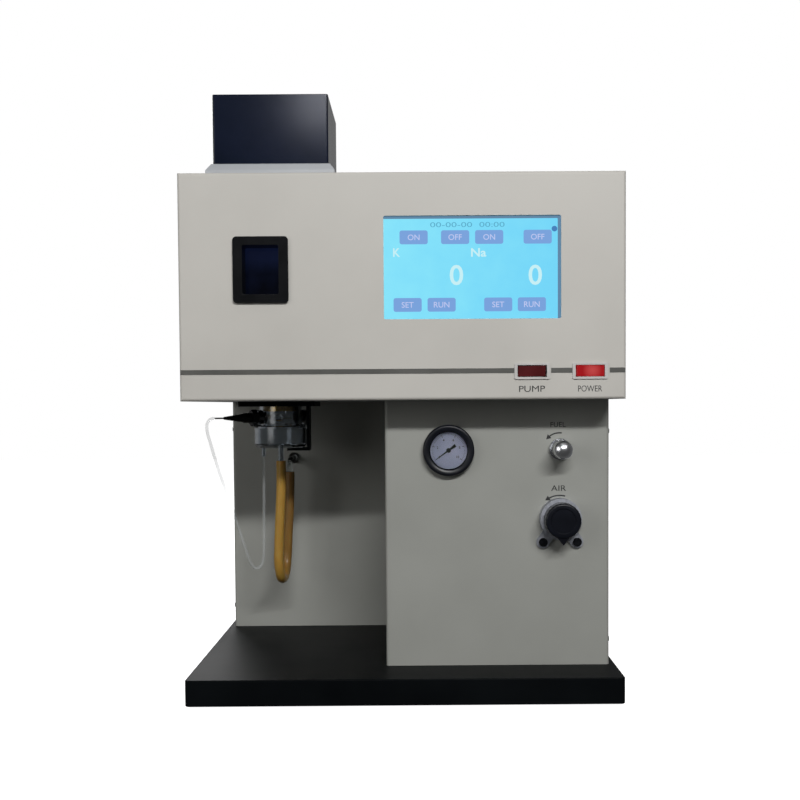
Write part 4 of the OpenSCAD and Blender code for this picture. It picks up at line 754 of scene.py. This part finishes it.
# Knobs: lengths run forward from the back face, and the points of a profile are
# (beyond the radius, behind the back face) in mm
fuelKnob = {
    "centre": (145.5, 230.5),
    "back": -138.6,  # y in mm
    "radius": 8.5,
    "length": 28.0,
    "dome": 11.6,  # radius of the rounded end
    "domeTurn": (-84, -46),  # degrees
    "shoulder": (0.8, -23.6),  # radius and place of the round between dome and side
    "shoulderTurn": (-40, 0),
    "groove": [(0, -16), (-0.5, -15.4), (-0.5, -14.6), (0, -14)],
    "backEdge": [(0, -1.2), (-0.8, 0)],
    "stem": 3.0,
    "stemEnd": -116.0,
}
airKnob = {
    "centre": (145.5, 165.5),
    "back": -146.6,  # y in mm
    "radius": 16.5,
    "length": 16.0,
    "dish": [(-5.5, 0.8), (-4.6, 0)],  # the edge of the sunk face, behind the front
    "dishDepth": 0.8,
    "round": 2.0,
    "groove": [(0, -5.2), (-0.6, -4.6), (-0.6, -4.2), (0, -3.8)],
    "backEdge": [(0, -0.6), (-0.6, 0)],
    "flutes": 24,
    "fluteSteps": 6,  # columns of points in each
    "fluteDepth": 0.7,
    "fluteRim": 2.1,  # they cut into the outer part of the face, this wide
    "fluteEnd": 5.4,  # and end this far in front of the back face
    "fluteFull": 2.5,  # full depth is reached this far behind the front
    "fluteShallow": 0.25,  # the share of the depth at the front
    "fluteSharpness": 1.5,
    "stem": 4.0,
    "stemEnd": -116.0,
    "nib": (13.0, 22.5, 6.0),  # the pointer: half width at its root, reach, thickness
    "nibCentre": 11.5,  # the triangle's middle is this far below the knob's axis
    "nibHalf": 0.87,  # half a triangle's side, when its corners are 1 from its middle
    "nibBack": -155.4,  # y of its rear face
    "nibRound": 0.5,
}


def rearOf(setup):  # the back face's edge and the stem that runs into the panel
    stem, depth = setup["stem"], setup["stemEnd"] - setup["back"]
    points = [(setup["radius"] + out, back) for out, back in setup["groove"] + setup["backEdge"]]
    return points + [(stem, 0), (stem, depth), (0, depth)]


def buildFuelKnob(setup):
    x, z = setup["centre"]
    dome, length, (bend, place) = setup["dome"], setup["length"], setup["shoulder"]
    profile = [(0, -length)]
    profile += arc(0, dome - length, dome, *setup["domeTurn"], count=8)
    profile += arc(setup["radius"] - bend, place, bend, *setup["shoulderTurn"], count=3)
    knob = addTurned("fuel_knob_turned", (x, setup["back"], z), profile + rearOf(setup))
    dress(knob, "chrome_knob", "fuel_knob", ["fuel_knob"])


def cutFlutes(knob, setup):  # shallow flutes round the grip
    x, z = setup["centre"]
    full = (setup["back"] - setup["length"] + setup["fluteFull"]) * mm
    end = (setup["back"] - setup["fluteEnd"]) * mm
    centre = Vector((x, 0, z)) * mm
    for vertex in knob.data.vertices:
        away = vertex.co - centre
        away.y = 0
        if away.length > (setup["radius"] - setup["fluteRim"]) * mm and vertex.co.y < end:
            turn = math.atan2(away.z, away.x)
            wave = max(0.0, math.cos(turn * setup["flutes"])) ** setup["fluteSharpness"]
            share = min(1, max(setup["fluteShallow"], (vertex.co.y - full) / mm + 1))
            vertex.co -= away.normalized() * setup["fluteDepth"] * wave * share * mm


def addNib(setup):  # the pointer: a triangle whose tip points down
    x, z = setup["centre"]
    half, reach, thick = setup["nib"]
    middle = setup["nibCentre"]
    nib = addDisc("air_knob_nib", (0, 0, 0), 1.0, thick, sides=3)
    place = Vector((x, setup["nibBack"] - thick / 2, z - middle)) * mm
    wide = half / setup["nibHalf"]
    nib.data.transform(Matrix.Translation(place)
                       @ Matrix.Diagonal((wide, 1, reach - middle, 1))
                       @ Matrix.Rotation(math.pi, 4, "Y"))
    roundEdges(nib, setup["nibRound"])
    return nib


def buildAirKnob(setup):
    x, z = setup["centre"]
    r, length, bend = setup["radius"], setup["length"], setup["round"]
    profile = [(0, setup["dishDepth"] - length)]
    profile += [(r + out, back - length) for out, back in setup["dish"]]
    profile += arc(r - bend, bend - length, bend, -90, 0, count=5)
    knob = addTurned("air_knob_grip", (x, setup["back"], z), profile + rearOf(setup),
                     setup["flutes"] * setup["fluteSteps"])
    cutFlutes(knob, setup)
    knob = joinAll("air_knob_grip", [knob, addNib(setup)])
    dress(knob, "black_plastic", "air_knob", ["air_knob"], "knobPhenolic")


buildFuelKnob(fuelKnob)
buildAirKnob(airKnob)
print("gauge and knobs made")

# Room: a pale floor, a soft key light from the front, a weak sky
room = {
    "floorSize": 9.0,  # m
    "floorColours": ("f0f0ee", "f6f6f4"),
    "floorRoughness": 0.6,
    "floorPatch": 400,  # mm
    "aim": (0.0, -0.10, 0.26),  # m
    "key": ((0.38, -1.90, 1.21), (1.15, 0.06), 27.4),  # place, size, power
    "fill": ((-1.1, -1.3, 0.58), (0.8, 0.8), 4.3),
    "top": ((0.2, -0.5, 2.0), (1.8, 1.8), 2.8),
    "back": ((-0.7, 2.2, 1.4), (0.8, 0.8), 16),
    # a small bluish light that the glossy chimney mirrors in its top right corner
    "sheen": ((-0.233, -1.9, 1.06), (0.12, 0.12), 0.38),
    "sheenAim": (-0.1, -0.085, 0.55),
    "sheenColour": (0.84, 0.87, 1.0),
    # the sky is darker in front of the object than behind it: y of its two ends and its strength
    "skyEnds": (-0.6, 1.0),
    "skyStrengths": (0.05, 0.23),
}


def addLight(name, place, size, power, aim=room["aim"], colour=(1, 1, 1)):
    light = bpy.data.lights.new(name, "AREA")
    light.energy = power
    light.color = colour
    light.shape = "RECTANGLE"
    light.size, light.size_y = size
    lamp = bpy.data.objects.new(name, light)
    bpy.context.scene.collection.objects.link(lamp)
    lamp.location = place
    lamp.rotation_euler = (Vector(aim) - Vector(place)).to_track_quat("-Z", "Y").to_euler()


def addFloor(setup):
    deselectAll()
    bpy.ops.mesh.primitive_plane_add(size=setup["floorSize"], location=(0, 0, 0))
    floor = bpy.context.object
    floor.name = "floor"
    material = addMaterial("paleFloor", *setup["floorColours"], setup["floorRoughness"],
                           patch=setup["floorPatch"], Emission_Color=(1, 1, 1, 1),
                           Emission_Strength=1.0)
    floor.data.materials.append(material)
    # the shaded bay and the black base stay dark: the floor neither lights nor mirrors in them
    floor.visible_diffuse = False
    floor.visible_glossy = False
    floor.visible_transmission = False


def addSky(setup):
    world = bpy.data.worlds.new("sky")
    bpy.context.scene.world = world
    world.use_nodes = True
    tree = world.node_tree
    background = tree.nodes["Background"]
    (front, back), (weak, strong) = setup["skyEnds"], setup["skyStrengths"]
    up = addNode(tree, "ShaderNodeTexCoord").outputs["Generated"]
    depth = addNode(tree, "ShaderNodeSeparateXYZ", links={"Vector": up}).outputs["Y"]
    level = addNode(tree, "ShaderNodeMapRange",
                    {"From Min": front, "From Max": back, "To Min": weak, "To Max": strong},
                    {"Value": depth}).outputs[0]
    # the camera itself sees plain white
    seen = addNode(tree, "ShaderNodeLightPath").outputs["Is Camera Ray"]
    strength = addNode(tree, "ShaderNodeMath", links={0: level, 1: seen}, operation="MAXIMUM")
    tree.links.new(strength.outputs[0], background.inputs["Strength"])
    background.inputs["Color"].default_value = (1, 1, 1, 1)


addFloor(room)
for name in ("key", "fill", "top"):
    addLight(name, *room[name])
addLight("sheen", *room["sheen"], room["sheenAim"], room["sheenColour"])
addLight("back", *room["back"])
addSky(room)
bpy.context.scene.view_settings.view_transform = "Standard"
print("room made")
